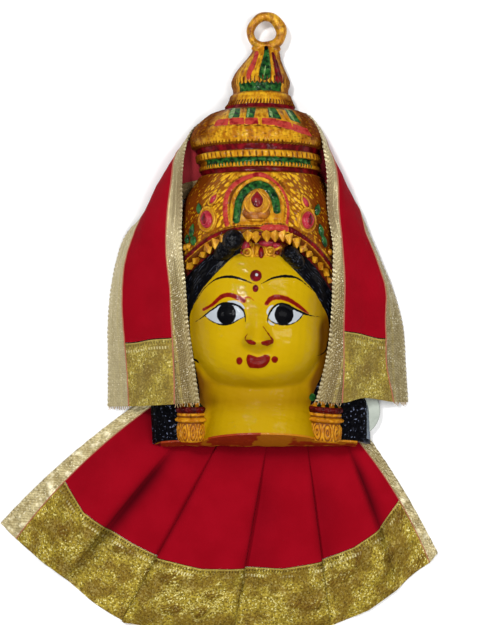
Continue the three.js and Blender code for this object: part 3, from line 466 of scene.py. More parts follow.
def band(value, low, high):
    return np.minimum(value - low, high - value)


def union(*shapes):
    return np.maximum.reduce(shapes)


# The casting's plain section.
def oval(angle, half_width, depth, power):
    across = np.abs(np.sin(angle)) / half_width
    out = np.abs(np.cos(angle)) / depth
    return (across**power + out**power) ** (-1 / power)


def lean(y):
    return table(LEAN, y, 4)


def face_radius(angle, y):
    drop = np.clip((FACE["widest"] - y) / (FACE["widest"] - FACE["chin"]), 0, 1)
    rise = np.maximum(0, y - FACE["widest"]) / (FACE["top"] - FACE["widest"])
    half_width = FACE["half_width"] * (1 - drop**2.6) ** (1 / 2.6) - 2 * rise**2
    depth = FACE["depth"] * (1 - drop**3.2) ** (1 / 3.2) - FACE["brow_fall"] * rise**2
    return oval(angle, np.maximum(half_width, 0.5), np.maximum(depth, 0.5), 2.3)


def outside_brow(x, y):
    u, v = (x - lean(y)) / BROW["half_width"], np.maximum(y - BROW["y"], 0.01) / BROW["rise"]
    ring = np.hypot(u, v)
    slope = np.hypot(u / BROW["half_width"], v / BROW["rise"]) / ring
    return np.where(y > BROW["y"], (ring - 1) / slope, -20.0)


def crown_radius(y):
    return table(CROWN_OUTLINE, y, 0.3)


def plain_radius(angle, y):
    hair = oval(angle, table(HEAD_HALF_WIDTH, y, 5), table(HEAD_DEPTH, y, 5), 2.2)
    neck = oval(angle, table(NECK_HALF_WIDTH, y, 5), table(NECK_DEPTH, y, 5), 2.15) * smooth(66, 50, y)
    head = rounded_max(hair, rounded_max(neck, face_radius(angle, y), 8), 2.5)
    x = lean(y) + head * np.sin(angle)
    crown = smooth(BROW["start"] - 0.7, BROW["start"] + 0.7, outside_brow(x, y))
    crown = np.where(y > BROW["y"] + BROW["rise"] + 2, 1, np.where(y < 98, 0, crown))
    return head + (np.where(y > 124, crown_radius(y), np.maximum(head, crown_radius(y))) - head) * crown


def even_angles(y, count, front=1.0):
    """Angles from rim to rim that share the section's length, that much closer together at the front."""
    fine = np.linspace(-math.pi / 2, math.pi / 2, 361)
    r = plain_radius(fine, np.full(fine.shape, float(y)))
    steps = np.hypot(np.diff(r * np.sin(fine)), np.diff(r * np.cos(fine)))
    middle = (fine[1:] + fine[:-1]) / 2
    steps *= 1 + (front - 1) * smooth(1.25, 0.85, np.abs(middle))
    length = np.concatenate([[0], np.cumsum(steps)])
    return np.interp(np.linspace(0, length[-1], count), length, fine)


# Meshes.
def deselect():
    if bpy.context.object and bpy.context.object.mode != "OBJECT":
        bpy.ops.object.mode_set(mode="OBJECT")
    bpy.ops.object.select_all(action="DESELECT")


def activate(piece):
    deselect()
    piece.select_set(True)
    bpy.context.view_layer.objects.active = piece


def edit(piece, *steps):
    """Runs mesh operators on the whole piece."""
    activate(piece)
    bpy.ops.object.mode_set(mode="EDIT")
    bpy.ops.mesh.select_all(action="SELECT")
    for step in steps:
        step()
    bpy.ops.object.mode_set(mode="OBJECT")


def merge():
    bpy.ops.mesh.remove_doubles(threshold=1e-6)


def face_out():
    bpy.ops.mesh.select_all(action="SELECT")
    bpy.ops.mesh.normals_make_consistent(inside=False)


def close_holes():
    bpy.ops.mesh.select_all(action="SELECT")
    bpy.ops.mesh.fill_holes(sides=0)


def modify(piece, kind, **settings):
    activate(piece)
    modifier = piece.modifiers.new(kind.lower(), kind)
    for key, value in settings.items():
        setattr(modifier, key, value)
    bpy.ops.object.modifier_apply(modifier=modifier.name)


def vertices(piece):
    co = np.empty(len(piece.data.vertices) * 3)
    piece.data.vertices.foreach_get("co", co)
    return co.reshape(-1, 3)


def set_vertices(piece, points):
    piece.data.vertices.foreach_set("co", np.asarray(points, float).ravel())
    piece.data.update()


def name_piece(piece, name):
    piece.name = name
    piece.data.name = name
    return piece


def from_grid(name, surface, uv=None):
    """A grid laid over a (rows, columns, 3) array of millimetres; uv holds (rows, columns, 2) metres."""
    rows, columns = surface.shape[:2]
    deselect()
    bpy.ops.mesh.primitive_grid_add(x_subdivisions=columns - 1, y_subdivisions=rows - 1, size=2)
    piece = name_piece(bpy.context.object, name)
    co = vertices(piece)
    i = np.rint((co[:, 0] + 1) / 2 * (columns - 1)).astype(int)
    j = np.rint((co[:, 1] + 1) / 2 * (rows - 1)).astype(int)
    set_vertices(piece, surface[j, i] * MM + ORIGIN)
    if uv is not None:
        layer = piece.data.uv_layers.active.data
        corner = np.empty(len(piece.data.loops), int)
        piece.data.loops.foreach_get("vertex_index", corner)
        layer.foreach_set("uv", uv[j, i][corner].ravel())
    return piece, i, j


def attribute(piece, name, values):
    made = piece.data.attributes.new(name, "FLOAT", "POINT")
    made.data.foreach_set("value", np.asarray(values, np.float32))


def join(pieces, name):
    deselect()
    for piece in pieces:
        piece.select_set(True)
    bpy.context.view_layer.objects.active = pieces[0]
    if len(pieces) > 1:
        bpy.ops.object.join()
    return name_piece(bpy.context.object, name)


def cut_away(piece, at, normal):
    """Cuts off what lies behind a plane and closes the cut."""
    edit(piece, lambda: bpy.ops.mesh.bisect(plane_co=at, plane_no=normal, clear_inner=True, use_fill=True))


def finish(piece, material, soft_angle=60, replaces=()):
    activate(piece)
    bpy.ops.object.shade_smooth_by_angle(angle=math.radians(soft_angle))
    piece.data.materials.clear()
    piece.data.materials.append(material)
    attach(piece, "root")
    if replaces:
        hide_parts(*replaces)
    return piece


# Materials.
def put(socket, entry):
    if isinstance(entry, Value):
        socket.id_data.links.new(entry.socket, socket)
    else:
        socket.default_value = entry


def node(tree, kind, output, entries, **settings):
    """A new shader node's output; entries go by the names or places of its inputs."""
    made = tree.nodes.new("ShaderNode" + kind)
    for key, setting in settings.items():
        setattr(made, key, setting)
    for key, entry in entries.items():
        put(made.inputs[key], entry)
    return Value(made.outputs[output])


class Value:
    """A shader value that can be reckoned with like a number."""

    def __init__(self, socket):
        self.socket, self.tree = socket, socket.id_data

    def math(self, operation, *numbers):
        return node(self.tree, "Math", 0, dict(enumerate(numbers)), operation=operation)

    def __add__(self, other):
        return self.math("ADD", self, other)

    def __sub__(self, other):
        return self.math("SUBTRACT", self, other)

    def __rsub__(self, other):
        return self.math("SUBTRACT", other, self)

    def __mul__(self, other):
        return self.math("MULTIPLY", self, other)

    def __abs__(self):
        return self.math("ABSOLUTE", self)

    def larger(self, other):
        return self.math("MAXIMUM", self, other)

    def smaller(self, other):
        return self.math("MINIMUM", self, other)

    def sine(self):
        return self.math("SINE", self)

    def part(self, axis):
        return node(self.tree, "SeparateXYZ", axis, {"Vector": self})

    def fit(self, low, high, to_low=0.0, to_high=1.0):
        """Runs smoothly from to_low to to_high while this value runs from low to high."""
        entries = {"Value": self, "From Min": low, "From Max": high, "To Min": to_low, "To Max": to_high}
        return node(self.tree, "MapRange", "Result", entries, interpolation_type="SMOOTHSTEP")

    def mix(self, a, b):
        """Colour a where this value is 0 and b where it is 1."""
        return node(self.tree, "Mix", 2, {0: self, 6: a, 7: b}, data_type="RGBA")

    def scaled(self, scale, turn=0.0, kind="POINT"):
        entries = {"Vector": self, "Rotation": (0, 0, turn), "Scale": scale}
        return node(self.tree, "Mapping", "Vector", entries, vector_type=kind)

    def noise(self, size, detail=3.0, roughness=0.5, output="Fac"):
        entries = {"Vector": self, "Scale": 1 / size, "Detail": detail, "Roughness": roughness}
        return node(self.tree, "TexNoise", output, entries)

    def cells(self, size, randomness, output="Distance"):
        entries = {"Vector": self, "Scale": 1 / size, "Randomness": randomness}
        return node(self.tree, "TexVoronoi", output, entries, feature="F1")

    def waves(self, direction, scale, distortion, detail):
        entries = {"Vector": self, "Scale": scale, "Distortion": distortion, "Detail": detail}
        return node(self.tree, "TexWave", "Fac", entries, bands_direction=direction)


def painted(colour, layers):
    """One paint over the other, each where its share is 1."""
    for share, paint in layers:
        colour = share.mix(colour, paint)
    return colour


class Finish:
    """A Principled material: lumps raise its surface, ripple breaks up the glints of its clear coat.
    Lumps are (size, detail, distance, strength), ripple is (size, distance)."""

    def __init__(self, name, lumps=None, ripple=None, **sockets):
        self.material = bpy.data.materials.new(name)
        self.material.use_nodes = True
        self.tree = self.material.node_tree
        self.shader = self.tree.nodes["Principled BSDF"]
        for key, entry in sockets.items():
            self.shader.inputs[key.replace("_", " ")].default_value = entry
        if lumps:
            size, detail, distance, strength = lumps
            self.raise_by(self.place().noise(size, detail), distance, strength)
        if ripple:
            size, distance = ripple
            entries = {"Height": self.place().noise(size, 2), "Distance": distance}
            put(self.shader.inputs["Coat Normal"], node(self.tree, "Bump", "Normal", entries))

    def place(self):
        return node(self.tree, "TexCoord", "Object", {})

    def cloth_place(self):
        return node(self.tree, "UVMap", "UV", {}, uv_map="UVMap")

    def read(self, name):
        return node(self.tree, "Attribute", "Fac", {}, attribute_name=name)

    def raise_by(self, height, distance, strength):
        before = self.shader.inputs["Normal"]
        entries = {"Height": height, "Distance": distance, "Strength": strength}
        if before.is_linked:
            entries["Normal"] = Value(before.links[0].from_socket)
        put(before, node(self.tree, "Bump", "Normal", entries))

    def colour(self, value):
        put(self.shader.inputs["Base Color"], value)
        return self.material


def rgb(*levels):
    """An sRGB colour of 0 to 255 as the shader's linear values."""
    return (*[((c / 255 + 0.055) / 1.055) ** 2.4 if c > 10 else c / 255 / 12.92 for c in levels], 1)


SKIN, SKIN_DEEP = rgb(182, 148, 0), rgb(138, 98, 0)
# GOLD_BROWN is the brown of painted shade, and of random patches on small gold parts.
GOLD, GOLD_PALE, GOLD_BROWN = rgb(180, 116, 8), rgb(212, 160, 30), rgb(84, 36, 4)
# The brown of the crown's sides: painted shade.
SHADED_SIDE_BROWN = rgb(108, 48, 8)
HAIR, HAIR_GLINT = rgb(3, 3, 6), rgb(66, 72, 88)
RED, RED_DEEP, PINK = rgb(122, 12, 22), rgb(72, 6, 10), rgb(174, 58, 48)
GREEN, GREEN_DEEP, GREEN_PALE = rgb(34, 90, 34), rgb(6, 30, 14), rgb(88, 132, 66)
LID_RED, LID_ORANGE = rgb(106, 8, 0), rgb(160, 62, 0)


def gold_paint(source, hollow):
    """Gold paint over brown: painted shade in the casting's hollows, random patches on small gold parts."""
    mottle = source.scaled((1.5, 0.7, 1)).noise(0.0042, 3, 0.6).fit(0.34, 0.66)
    return painted(mottle.mix(rgb(156, 92, 8), GOLD_PALE), [
        (source.noise(0.008, 2).fit(0.42, 0.6, 0, 0.5), GOLD),
        (hollow, GOLD_BROWN),
    ])


def gilt_strokes(f):
    """Short brush strokes that rise to the crown's middle from both sides, sparser on the sides with painted
    shade.
    """
    entries = {"X": abs(f.read("around")) * -1, "Y": f.place().part("Y")}
    mirrored = node(f.tree, "CombineXYZ", "Vector", entries)
    cells = mirrored.scaled((0.0036, 0.0014, 1), 0.72, "TEXTURE").cells(1, 0.8)
    return (cells + f.read("painted_side_shade") * 0.24).fit(0.62, 0.36)


def enamel_finish():
    """The paint of the casting, from its attributes: millimetres inside each colour, and painted shade on
    its sides, in its hollows and on its skin.
    """
    f = Finish("painted_casting", ripple=(0.0036, 0.00036), Roughness=0.5, Coat_Roughness=0.06)
    source = f.place()
    wobble = (source.noise(0.0018, 2) - 0.5) * 0.6

    def covers(name):
        return (f.read(name) + wobble).fit(-0.16, 0.16)

    def height(low, high, *fitted):
        return source.part("Y").fit(low * MM + mask_low.y, high * MM + mask_low.y, *fitted)

    # Painted shade: brown in the hollows and on steep sides.
    hollow = f.read("hollow_shade").fit(-0.06, 0.34).larger(f.read("steep").fit(0.2, 0.9))
    gold = gold_paint(source, hollow.smaller(0.92))
    # Painted shade: browns with gold streaks on the sides that turn away from the middle.
    side = source.noise(0.004).fit(0.35, 0.65).mix(SHADED_SIDE_BROWN, GOLD_BROWN)
    streaks = source.scaled((1, 2.6, 1)).noise(0.003).fit(0.5, 0.72, 0, 0.5)
    side_shade, strokes, dashed = f.read("painted_side_shade"), gilt_strokes(f), f.read("dashed")
    plain = side_shade.mix(gold, streaks.mix(side, GOLD))
    hatched = strokes.mix(side_shade.mix(rgb(132, 74, 12), SHADED_SIDE_BROWN), (side_shade * 0.6).mix(GOLD_PALE, GOLD))
    shade = f.read("skin_shade")
    # Painted glints along the hair's strands.
    lay = (f.read("skin") * 5.2 + source.noise(0.007, 2) * 16).sine()
    glints = lay.fit(0.45, 0.95) * source.noise(0.0045, 2).fit(0.46, 0.66)
    paints = {
        "hair": (glints * 0.6).mix(HAIR, HAIR_GLINT),
        # Skin, with painted shade where skin_shade is high.
        "skin": painted(source.noise(0.03, 2).fit(0.3, 0.75, 0, 0.3).mix(SKIN, SKIN_DEEP), [
            (shade, SKIN_DEEP), (shade.fit(0.6, 1, 0, 0.85), rgb(84, 44, 0)),
        ]),
        "orange": LID_ORANGE,
        "lid_red": source.noise(0.002).fit(0.4, 0.75).mix(LID_RED, rgb(126, 22, 12)),
        "pink": source.noise(0.0036).fit(0.42, 0.74).mix(PINK, RED),
        "red": source.noise(0.004).fit(0.28, 0.62).mix(RED, RED_DEEP),
        "green": source.noise(0.0024).fit(0.34, 0.66).mix(
            GREEN_DEEP, source.noise(0.0034).fit(0.56, 0.74).mix(GREEN, GREEN_PALE)),
        # Painted highlights in light green.
        "painted_highlight": source.noise(0.002).fit(0.4, 0.7).mix(GREEN_PALE, rgb(146, 160, 118)),
        "brown": GOLD_BROWN,
        "white": rgb(172, 178, 184),
        "black": HAIR,
        "bare": source.noise(0.006).mix(rgb(128, 138, 146), rgb(96, 106, 116)),
    }
    colour = painted(dashed.mix(plain, hatched), [(covers(name), paint) for name, paint in paints.items()])
    locks = covers("hair") * (1 - covers("skin"))
    low = height(55, 40)
    # Painted glints on the lower locks.
    lower_hair_glints = source.noise(0.0018, 2).fit(0.62, 0.72) * (low * locks)
    open_face = 1 - side_shade.larger(locks * 0.2)
    gloss = open_face * (1 - covers("black") * 0.8) * (height(30, 50, 0.35, 1) * 0.13)
    put(f.shader.inputs["Coat Weight"], gloss)
    put(f.shader.inputs["Specular IOR Level"], open_face * 0.04)
    f.raise_by(source.noise(0.0052, 2), 0.0006, 0.5)
    f.raise_by(source.noise(0.0011, 2), 0.0001, 0.5)
    f.raise_by(dashed * strokes, 0.0005, 0.6)
    f.raise_by(locks * (glints * 0.4 + source.noise(0.0026, 1) * low), 0.0016, 0.9)
    return f.colour((lower_hair_glints * 0.8).mix(colour, rgb(124, 134, 162)))


def gold_finish(name, brown):
    """Gold enamel with that much brown in random patches."""
    f = Finish(name, (0.0016, 3, 0.0005, 0.6), (0.0022, 0.0008), Roughness=0.42, Metallic=0.15,
               Coat_Weight=0.12, Coat_Roughness=0.14, Specular_IOR_Level=0.2)
    source = f.place()
    return f.colour(gold_paint(source, source.noise(0.003).fit(0.56, 0.36, 0, brown)))


def glossy_finish(name, light, deep):
    f = Finish(name, (0.002, 2, 0.0003, 0.5), (0.0022, 0.0006), Roughness=0.35, Coat_Weight=0.25,
               Coat_Roughness=0.08, Specular_IOR_Level=0.15)
    return f.colour(f.place().noise(0.004).fit(0.35, 0.68).mix(light, deep))


def hair_finish():
    f = Finish("black_enamel", (0.0022, 1, 0.0009, 0.7), (0.0024, 0.0012), Roughness=0.35, Coat_Weight=0.14,
               Coat_Roughness=0.1, Specular_IOR_Level=0.06)
    # Painted glints as bright flecks.
    return f.colour(f.place().noise(0.0012, 2).fit(0.6, 0.72, 0, 0.7).mix(HAIR, HAIR_GLINT))


def earring_finish():
    f = Finish("earring_enamel", (0.0014, 3, 0.0004, 0.6), (0.0022, 0.0008), Roughness=0.4, Coat_Weight=0.12,
               Coat_Roughness=0.1, Specular_IOR_Level=0.08)
    source = f.place()
    gold = source.noise(0.003).fit(0.35, 0.7).mix(rgb(164, 98, 6), rgb(200, 138, 22))
    return f.colour(painted(gold, [
        (f.read("hollow_shade").fit(0.03, 0.42, 0, 0.95), rgb(100, 48, 4)),
        (f.read("green").fit(-0.2, 0.2), GREEN_DEEP),
        (f.read("red").fit(-0.2, 0.2), source.noise(0.004).fit(0.4, 0.66).mix(rgb(84, 6, 4), rgb(50, 2, 2))),
    ]))


def lip_finish():
    f = Finish("brick_enamel", (0.003, 3, 0.0006, 0.6), (0.003, 0.001), Roughness=0.45, Coat_Weight=0.1,
               Coat_Roughness=0.15, Specular_IOR_Level=0.15)
    source = f.place()
    worn = f.read("gilt") + source.noise(0.005, 4).fit(0.3, 0.7, -1.2, 1.2)
    brick = source.noise(0.006).mix(rgb(160, 58, 12), rgb(124, 30, 6))
    return f.colour(worn.fit(-0.7, 0.7).mix(brick, rgb(176, 112, 12)))


def bare_finish():
    f = Finish("bare_casting", (0.002, 4, 0.0003, 0.5), Roughness=0.55, Metallic=0.35)
    return f.colour(f.place().noise(0.008, 4).mix(rgb(184, 190, 180), rgb(140, 148, 138)))


def thread_finish(name, light, deep):
    f = Finish(name, Roughness=0.7, Sheen_Weight=0.15)
    return f.colour(f.place().noise(0.003).mix(light, deep))


def cloth_finish():
    f = Finish("red_cloth", Roughness=0.95, Sheen_Weight=0.05, Sheen_Roughness=0.4, Specular_IOR_Level=0.05)
    f.shader.inputs["Sheen Tint"].default_value = rgb(235, 90, 110)
    cloth, nap = f.cloth_place(), f.place().noise(0.02)
    fine, cross = (cloth.waves(direction, 900, 1.5, 1) for direction in "XY")
    f.raise_by(fine + cross, 0.00008, 0.5)
    f.raise_by(f.place().noise(0.009), 0.0004, 0.3)
    return f.colour(painted(nap.fit(0.3, 0.72).mix(rgb(147, 5, 24), rgb(138, 3, 20)), [
        ((fine * cross).fit(0.1, 0.8, 0, 0.2), rgb(108, 2, 13)),
        (f.read("fold_shadow"), rgb(52, 0, 7)),
        (f.read("reverse"), nap.mix(rgb(160, 50, 56), rgb(134, 34, 42))),
    ]))


def lace_finish():
    """Woven metallic lace: beads on its free edge, slanting strands, a grid, a yellow strip at the seam."""
    f = Finish("gold_lace", Roughness=0.42, Metallic=0.35, Specular_IOR_Level=0.3)
    cloth = f.cloth_place()
    across = f.read("across")  # millimetres from the free edge
    braided = f.read("braided")  # 1 where the lace is braided, 0 where it is plain and shiny
    painted_light = f.read("painted_light")  # below 0.5 painted shade, above 0.5 painted light
    along = cloth.part("X") * 1000
    stray = cloth.noise(0.0036, 2) * 5

    def wave(run, pitch, *fitted):
        return (run * (2 * math.pi / pitch) + stray).sine().fit(*fitted)

    beads = wave(along, 2.5, -0.5, 0.4)
    strands = wave(along + across * 1.3, 2.5, -0.3, 0.7)
    grid = wave(along, 1.3, -0.6, 0.6) * wave(across, 1.2, -0.6, 0.6)
    weave = cloth.noise(0.0011, 3, 0.65)
    crumple = f.place().noise(0.005)
    patchy = cloth.noise(0.012, 2)
    reach = across.fit(5, 2.4) * braided.fit(0.2, 0.9, 0, 0.8)
    strip = abs(across - 9.7).fit(1.1, 0.6) * wave(along, 7.6, -1, -0.85, 0, 0.6)
    # Painted shine in whitish blotches on the plain lace.
    painted_shine = cloth.noise(0.0065, 2).fit(0.53, 0.66) * braided.fit(0.6, 0, 0, 0.75)
    # Painted glints on the weave.
    lit = patchy.fit(0.4, 0.6, 0.3, 1) * braided.fit(0, 1, 0.8, 0.9)
    rim = across.fit(1.5, 1) * braided.fit(0, 1, 0.3, 0.95)
    beaded = (beads * patchy.fit(0.36, 0.6, 0.5, 1)).mix(rgb(122, 106, 68), rgb(208, 196, 158))
    f.raise_by(grid * 0.4 + reach * strands + rim * beads + weave * 0.5, 0.0003, 0.5)
    f.raise_by(crumple, 0.001, 0.3)
    # Its ground is lighter and darker with the crumples, as painted shine and shade.
    return f.colour(painted(crumple.fit(0.34, 0.66).mix(rgb(150, 134, 88), rgb(184, 170, 124)), [
        (wave(along + across * 0.8, 1.9, -0.4, 0.8, 0, 0.35), rgb(104, 88, 48)),
        (braided, (grid * 0.7).mix(rgb(92, 76, 38), rgb(150, 134, 84))),
        (reach, strands.mix(rgb(122, 106, 64), rgb(170, 156, 110))),
        (strip * braided, rgb(166, 148, 76)),
        (painted_shine, rgb(228, 218, 182)),
        (weave.fit(0.44, 0.3, 0, 0.6), rgb(70, 54, 26)),
        (weave.fit(0.56, 0.66) * lit, rgb(238, 230, 200)),
        (rim, beaded),
        (painted_light.fit(0.5, 0, 0, 0.4), rgb(88, 70, 28)),
        (painted_light.fit(0.5, 1, 0, 0.35), rgb(224, 210, 166)),
        (f.read("reverse") * 0.8, rgb(96, 64, 12)),
    ]))


def brocade_finish():
    """Glittering gold brocade: leaf sprays woven darker, rows of stitches along its top edge."""
    f = Finish("gold_brocade", Roughness=0.5, Metallic=0.4, Specular_IOR_Level=0.15)
    cloth = f.cloth_place()
    glitter = node(f.tree, "SeparateColor", 0, {"Color": cloth.cells(0.0007, 1, "Color")})
    weave, light_and_shade = cloth.noise(0.0014, 4, 0.7), cloth.noise(0.014, 3, 0.55)
    stray = cloth.noise(1 / 90, 2, output="Color").scaled((0.012, 0.012, 0))
    bent = node(f.tree, "VectorMath", 0, {0: cloth, 1: stray}, operation="ADD")
    leaf = bent.scaled((1, 1.5, 1), 0.5).cells(0.02, 0.9)
    heart = leaf.fit(0.4, 0.24)
    veins = bent.waves("DIAGONAL", 170, 3, 1.5).fit(0.35, 0.65, 0.3, 0.8)
    outline = abs(leaf - 0.42).fit(0.05, 0.02)
    top = f.read("from_top")
    dashes = (f.read("run") * 3.3).sine().fit(-0.2, 0.3)
    row = abs(top - 1.7).fit(0.8, 0.4) * dashes
    second_row = abs(top - 4.8).fit(1, 0.5) * (dashes * cloth.noise(0.01, 2).fit(0.42, 0.6))
    f.raise_by(glitter * 0.5 + weave, 0.0005, 0.7)
    f.raise_by(heart, 0.0006, 0.6)
    return f.colour(painted(weave.fit(0.34, 0.64).mix(rgb(106, 86, 14), rgb(184, 162, 58)), [
        (heart * veins, rgb(92, 60, 6)),
        (outline * weave.fit(0.45, 0.6), rgb(196, 178, 96)),
        # Painted shade in wide patches, and painted glints on the glitter where those patches are light.
        (light_and_shade.fit(0.4, 0.58, 0.62, 0), rgb(96, 64, 8)),
        (glitter.fit(0.84, 0.95) * light_and_shade.fit(0.42, 0.6, 0.15, 0.9), rgb(230, 218, 144)),
        (glitter.fit(0.14, 0.04, 0, 0.6), rgb(58, 44, 8)),
        (top.fit(0.8, 0.4, 0, 0.7), rgb(180, 160, 84)),
        (row * 0.8, rgb(70, 50, 12)),
        (second_row * 0.7, rgb(228, 218, 164)),
        (f.read("paler"), rgb(208, 190, 108)),
        (f.read("fold_shadow"), rgb(40, 28, 6)),
    ]))


# The casting.
def casting_rows():
    edges = sorted({y for y, _ in CROWN_OUTLINE if y > TIERS_FROM})
    rows = []
    for start, end, step in ROWS:
        stops = [start, *[y for y in edges if start < y < end], end]
        for a, b in zip(stops[:-1], stops[1:]):
            rows.extend(np.linspace(a, b, max(1, round((b - a) / step)), endpoint=False))
    return np.array([*rows, ROWS[-1][1]])


def nose_relief(x, y):
    side = x - FACE_X
    down = np.clip((NOSE["bridge"] - y) / (NOSE["bridge"] - NOSE["tip"]), 0, 1)
    under = smooth(NOSE["tip"] - 7.5, NOSE["tip"] + 1, y)
    ridge = NOSE["rise"] * down**1.7 * under * bump(side, 4.4 + 1.2 * down)
    wings = 3 * bump(np.abs(side) - NOSE["wing_x"], 2.5) * bump(y - NOSE["wing_y"] - 0.6, 2.3)
    return ridge + wings


def face_relief(x, y):
    side = x - FACE_X
    eyes = sum(1.7 * bump((x - cx) / 10.5, 1) * bump(y - FACE_AT["eyes"], 5.2) for cx, _, _, _ in IRISES)
    lids = sum(0.45 * bump(stroke(x, y, LASHES[k]) - 0.2, 0.7) for k in (0, 2))
    brows = sum(0.5 * bump(np.maximum(0, -stroke(x, y, line) - 0.4), 1.8) for line in EYEBROWS)
    parting = 0.35 * bump(np.maximum(0, -stroke(x, y, LIP_PARTING)), 0.6)
    mouth = 1.2 * smooth(-1.6, 2.2, patch(x, y, LIPS)) - parting
    cheeks = sum(1.1 * bump(x - cx, 10) * bump(y - FACE_AT["cheeks"], 9) for cx in CHEEKS_X)
    chin = 1.5 * bump(side, 9) * bump(y - FACE_AT["chin"], 4.5)
    crease = -0.4 * bump(y - FACE_AT["crease"] - 0.006 * side**2, 3) * smooth(36, 22, np.abs(side))
    dot = 0.35 * smooth(-0.3, 0.5, union(spot(x, y, FOREHEAD_DOT), spot(x, y, DROP)))
    collar = 0.5 * smooth(21, 19.4, y + 0.004 * side**2) * smooth(34, 27, np.abs(side)) * smooth(2, 9, y)
    return nose_relief(x, y) + eyes + lids + brows + mouth + cheeks + chin + crease + dot + collar


def round_teeth(around, pitch, sharp=1.0):
    """A row of rounded teeth along a distance, between 0 and 1."""
    return np.abs(np.cos(math.pi * around / pitch)) ** sharp


def crown_bands(x, y, angle, radius):
    """Relief, paint and painted side shade of the turned tiers."""
    around = angle * radius
    uneven = around + 0.55 * waver(around, 0.4 * y, 7, 4)
    worn = 0.22 * waver(around, 0.6 * y, 6.5, 2)
    turns = angle * 66 / (2 * math.pi) + 0.2 * waver(around, y, 8, 3)
    notches = np.abs(np.sin(turns * math.pi))
    lift = -0.7 * (1 - notches**0.6) * smooth(-0.2, 0.4, band(y, *TIERS["notches"]))
    lift += 0.25 * waver(around * 0.6, y * 1.6, 3.2, 1) * smooth(-0.3, 0.6, band(y, *TIERS["engraving"]))
    lift += -0.5 * (1 - round_teeth(uneven, 2.2, 0.7)) * smooth(0.2, -0.6, np.abs(y - 174.4) - 1.1)
    scallops = round_teeth(uneven, 3.6, 0.8)
    lift += 0.9 * (scallops - 0.5) * bump(y - 167.4, 1.6)
    lift += 0.9 * (round_teeth(around, 2.2, 0.8) - 0.5) * bump(y - 161.6, 1.2)
    lift += -0.4 * (1 - round_teeth(uneven, 2.4, 0.8)) * smooth(0.4, -0.4, np.abs(y - 213) - 2)
    ribs = np.abs(np.sin(angle * 180 / 17 * math.pi / 2 + 0.25))
    lift += -0.35 * (1 - ribs**0.7) * smooth(-1, 2, band(y, *TIERS["bell"]))
    petals = union(*[patch(x, y, outline, 1) for outline in PETALS])
    panels = union(*[patch(x, y, outline, 1) for outline in CROWN_PATCHES])
    ray = np.abs(np.sin(angle * 180 / 20 * math.pi / 2))
    lift += (0.5 * bump(petals + 0.8, 0.6) - 0.35 * smooth(0, 0.6, petals)) * smooth(186, 188, y)
    lift += 0.5 * ray**3 * smooth(-0.5, 1, band(y, *TIERS["rays"])) * smooth(0.75, 0.9, np.abs(angle))
    lift -= 0.2 * smooth(-0.2, 0.5, panels)
    wave = 182.9 - 0.06 * (x - FACE_X) + 0.35 * np.sin(around * 1.3)
    lift -= 0.4 * bump(y - wave, 0.6) * smooth(1.2, 0.9, np.abs(angle))
    lift += 0.35 * bump(y - 196.6, 0.8) + 0.3 * bump(y - 204.6, 0.7)
    front = radius * (0.82 - np.abs(angle + 0.02))
    sides = radius * (1.03 - np.abs(angle + 0.04))
    red = union(
        np.minimum(band(y, *TIERS["upper_red"]), radius * (1.3 - np.abs(angle))),
        band(y, 169.9, 173.6 - 0.4 * round_teeth(around, 2.2)),
        band(y, *TIERS["lowest_red"]),
        stroke(x, y, BELL_RED[1]) - 0.1 + worn,
    )
    pink = union(panels + 0.3 + worn, stroke(x, y, BELL_RED[0]) - 0.1 + worn)
    bell_green = stroke(x, y, BELL_GREEN)
    green = union(
        np.minimum(band(y, 206.2, 211.4 + 0.6 * np.sin(around * 2.2)), front),
        bell_green,
        petals,
        np.minimum(band(y, 160.9 + 2.2 * (round_teeth(around, 2.2) > 0.6), 166 - 0.5 * scallops), sides),
    )
    lift += 0.6 * smooth(-0.4, 1, bell_green)
    ridges = 0.6 * (1 - round_teeth(uneven, 2.4)) - 0.3 + worn
    ridges = np.minimum(ridges, band(y, 211.2, 214.8 + 0.7 * np.sin(around * 1.7)))
    # Brown in the gaps of the notches, the bell's ridges and the bead bed: painted shade in these hollows.
    brown = union(
        np.minimum(0.7 * (1 - notches) - 0.34 + worn, band(y, 198.2, 201 + worn)),
        np.minimum(ridges, band(x, -13, 15)),
        np.minimum(0.8 * (1 - round_teeth(uneven, 2.2, 0.7)) - 0.42 + worn, band(y, *TIERS["bead_bed"])),
    )
    # Painted shade, brown on the sides that turn away from the middle.
    off_middle = np.abs(angle + 0.03)
    side_shade = smooth(0.62, 0.86, off_middle) * 0.95 * smooth(206, 200, y) * smooth(174, 180, y)
    side_shade = side_shade + smooth(0.98, 1.2, off_middle) * 0.9 * smooth(180, 174, y)
    side_shade = side_shade + 0.8 * smooth(0.8, 1.2, off_middle) * smooth(200, 206, y)
    paints = {"red": red, "pink": pink, "painted_highlight": strokes(x, y, HIGHLIGHT_STROKES) + worn, "green": green,
              "brown": brown, "black": spot(x, y, BELL_MARK)}
    return lift, paints, side_shade


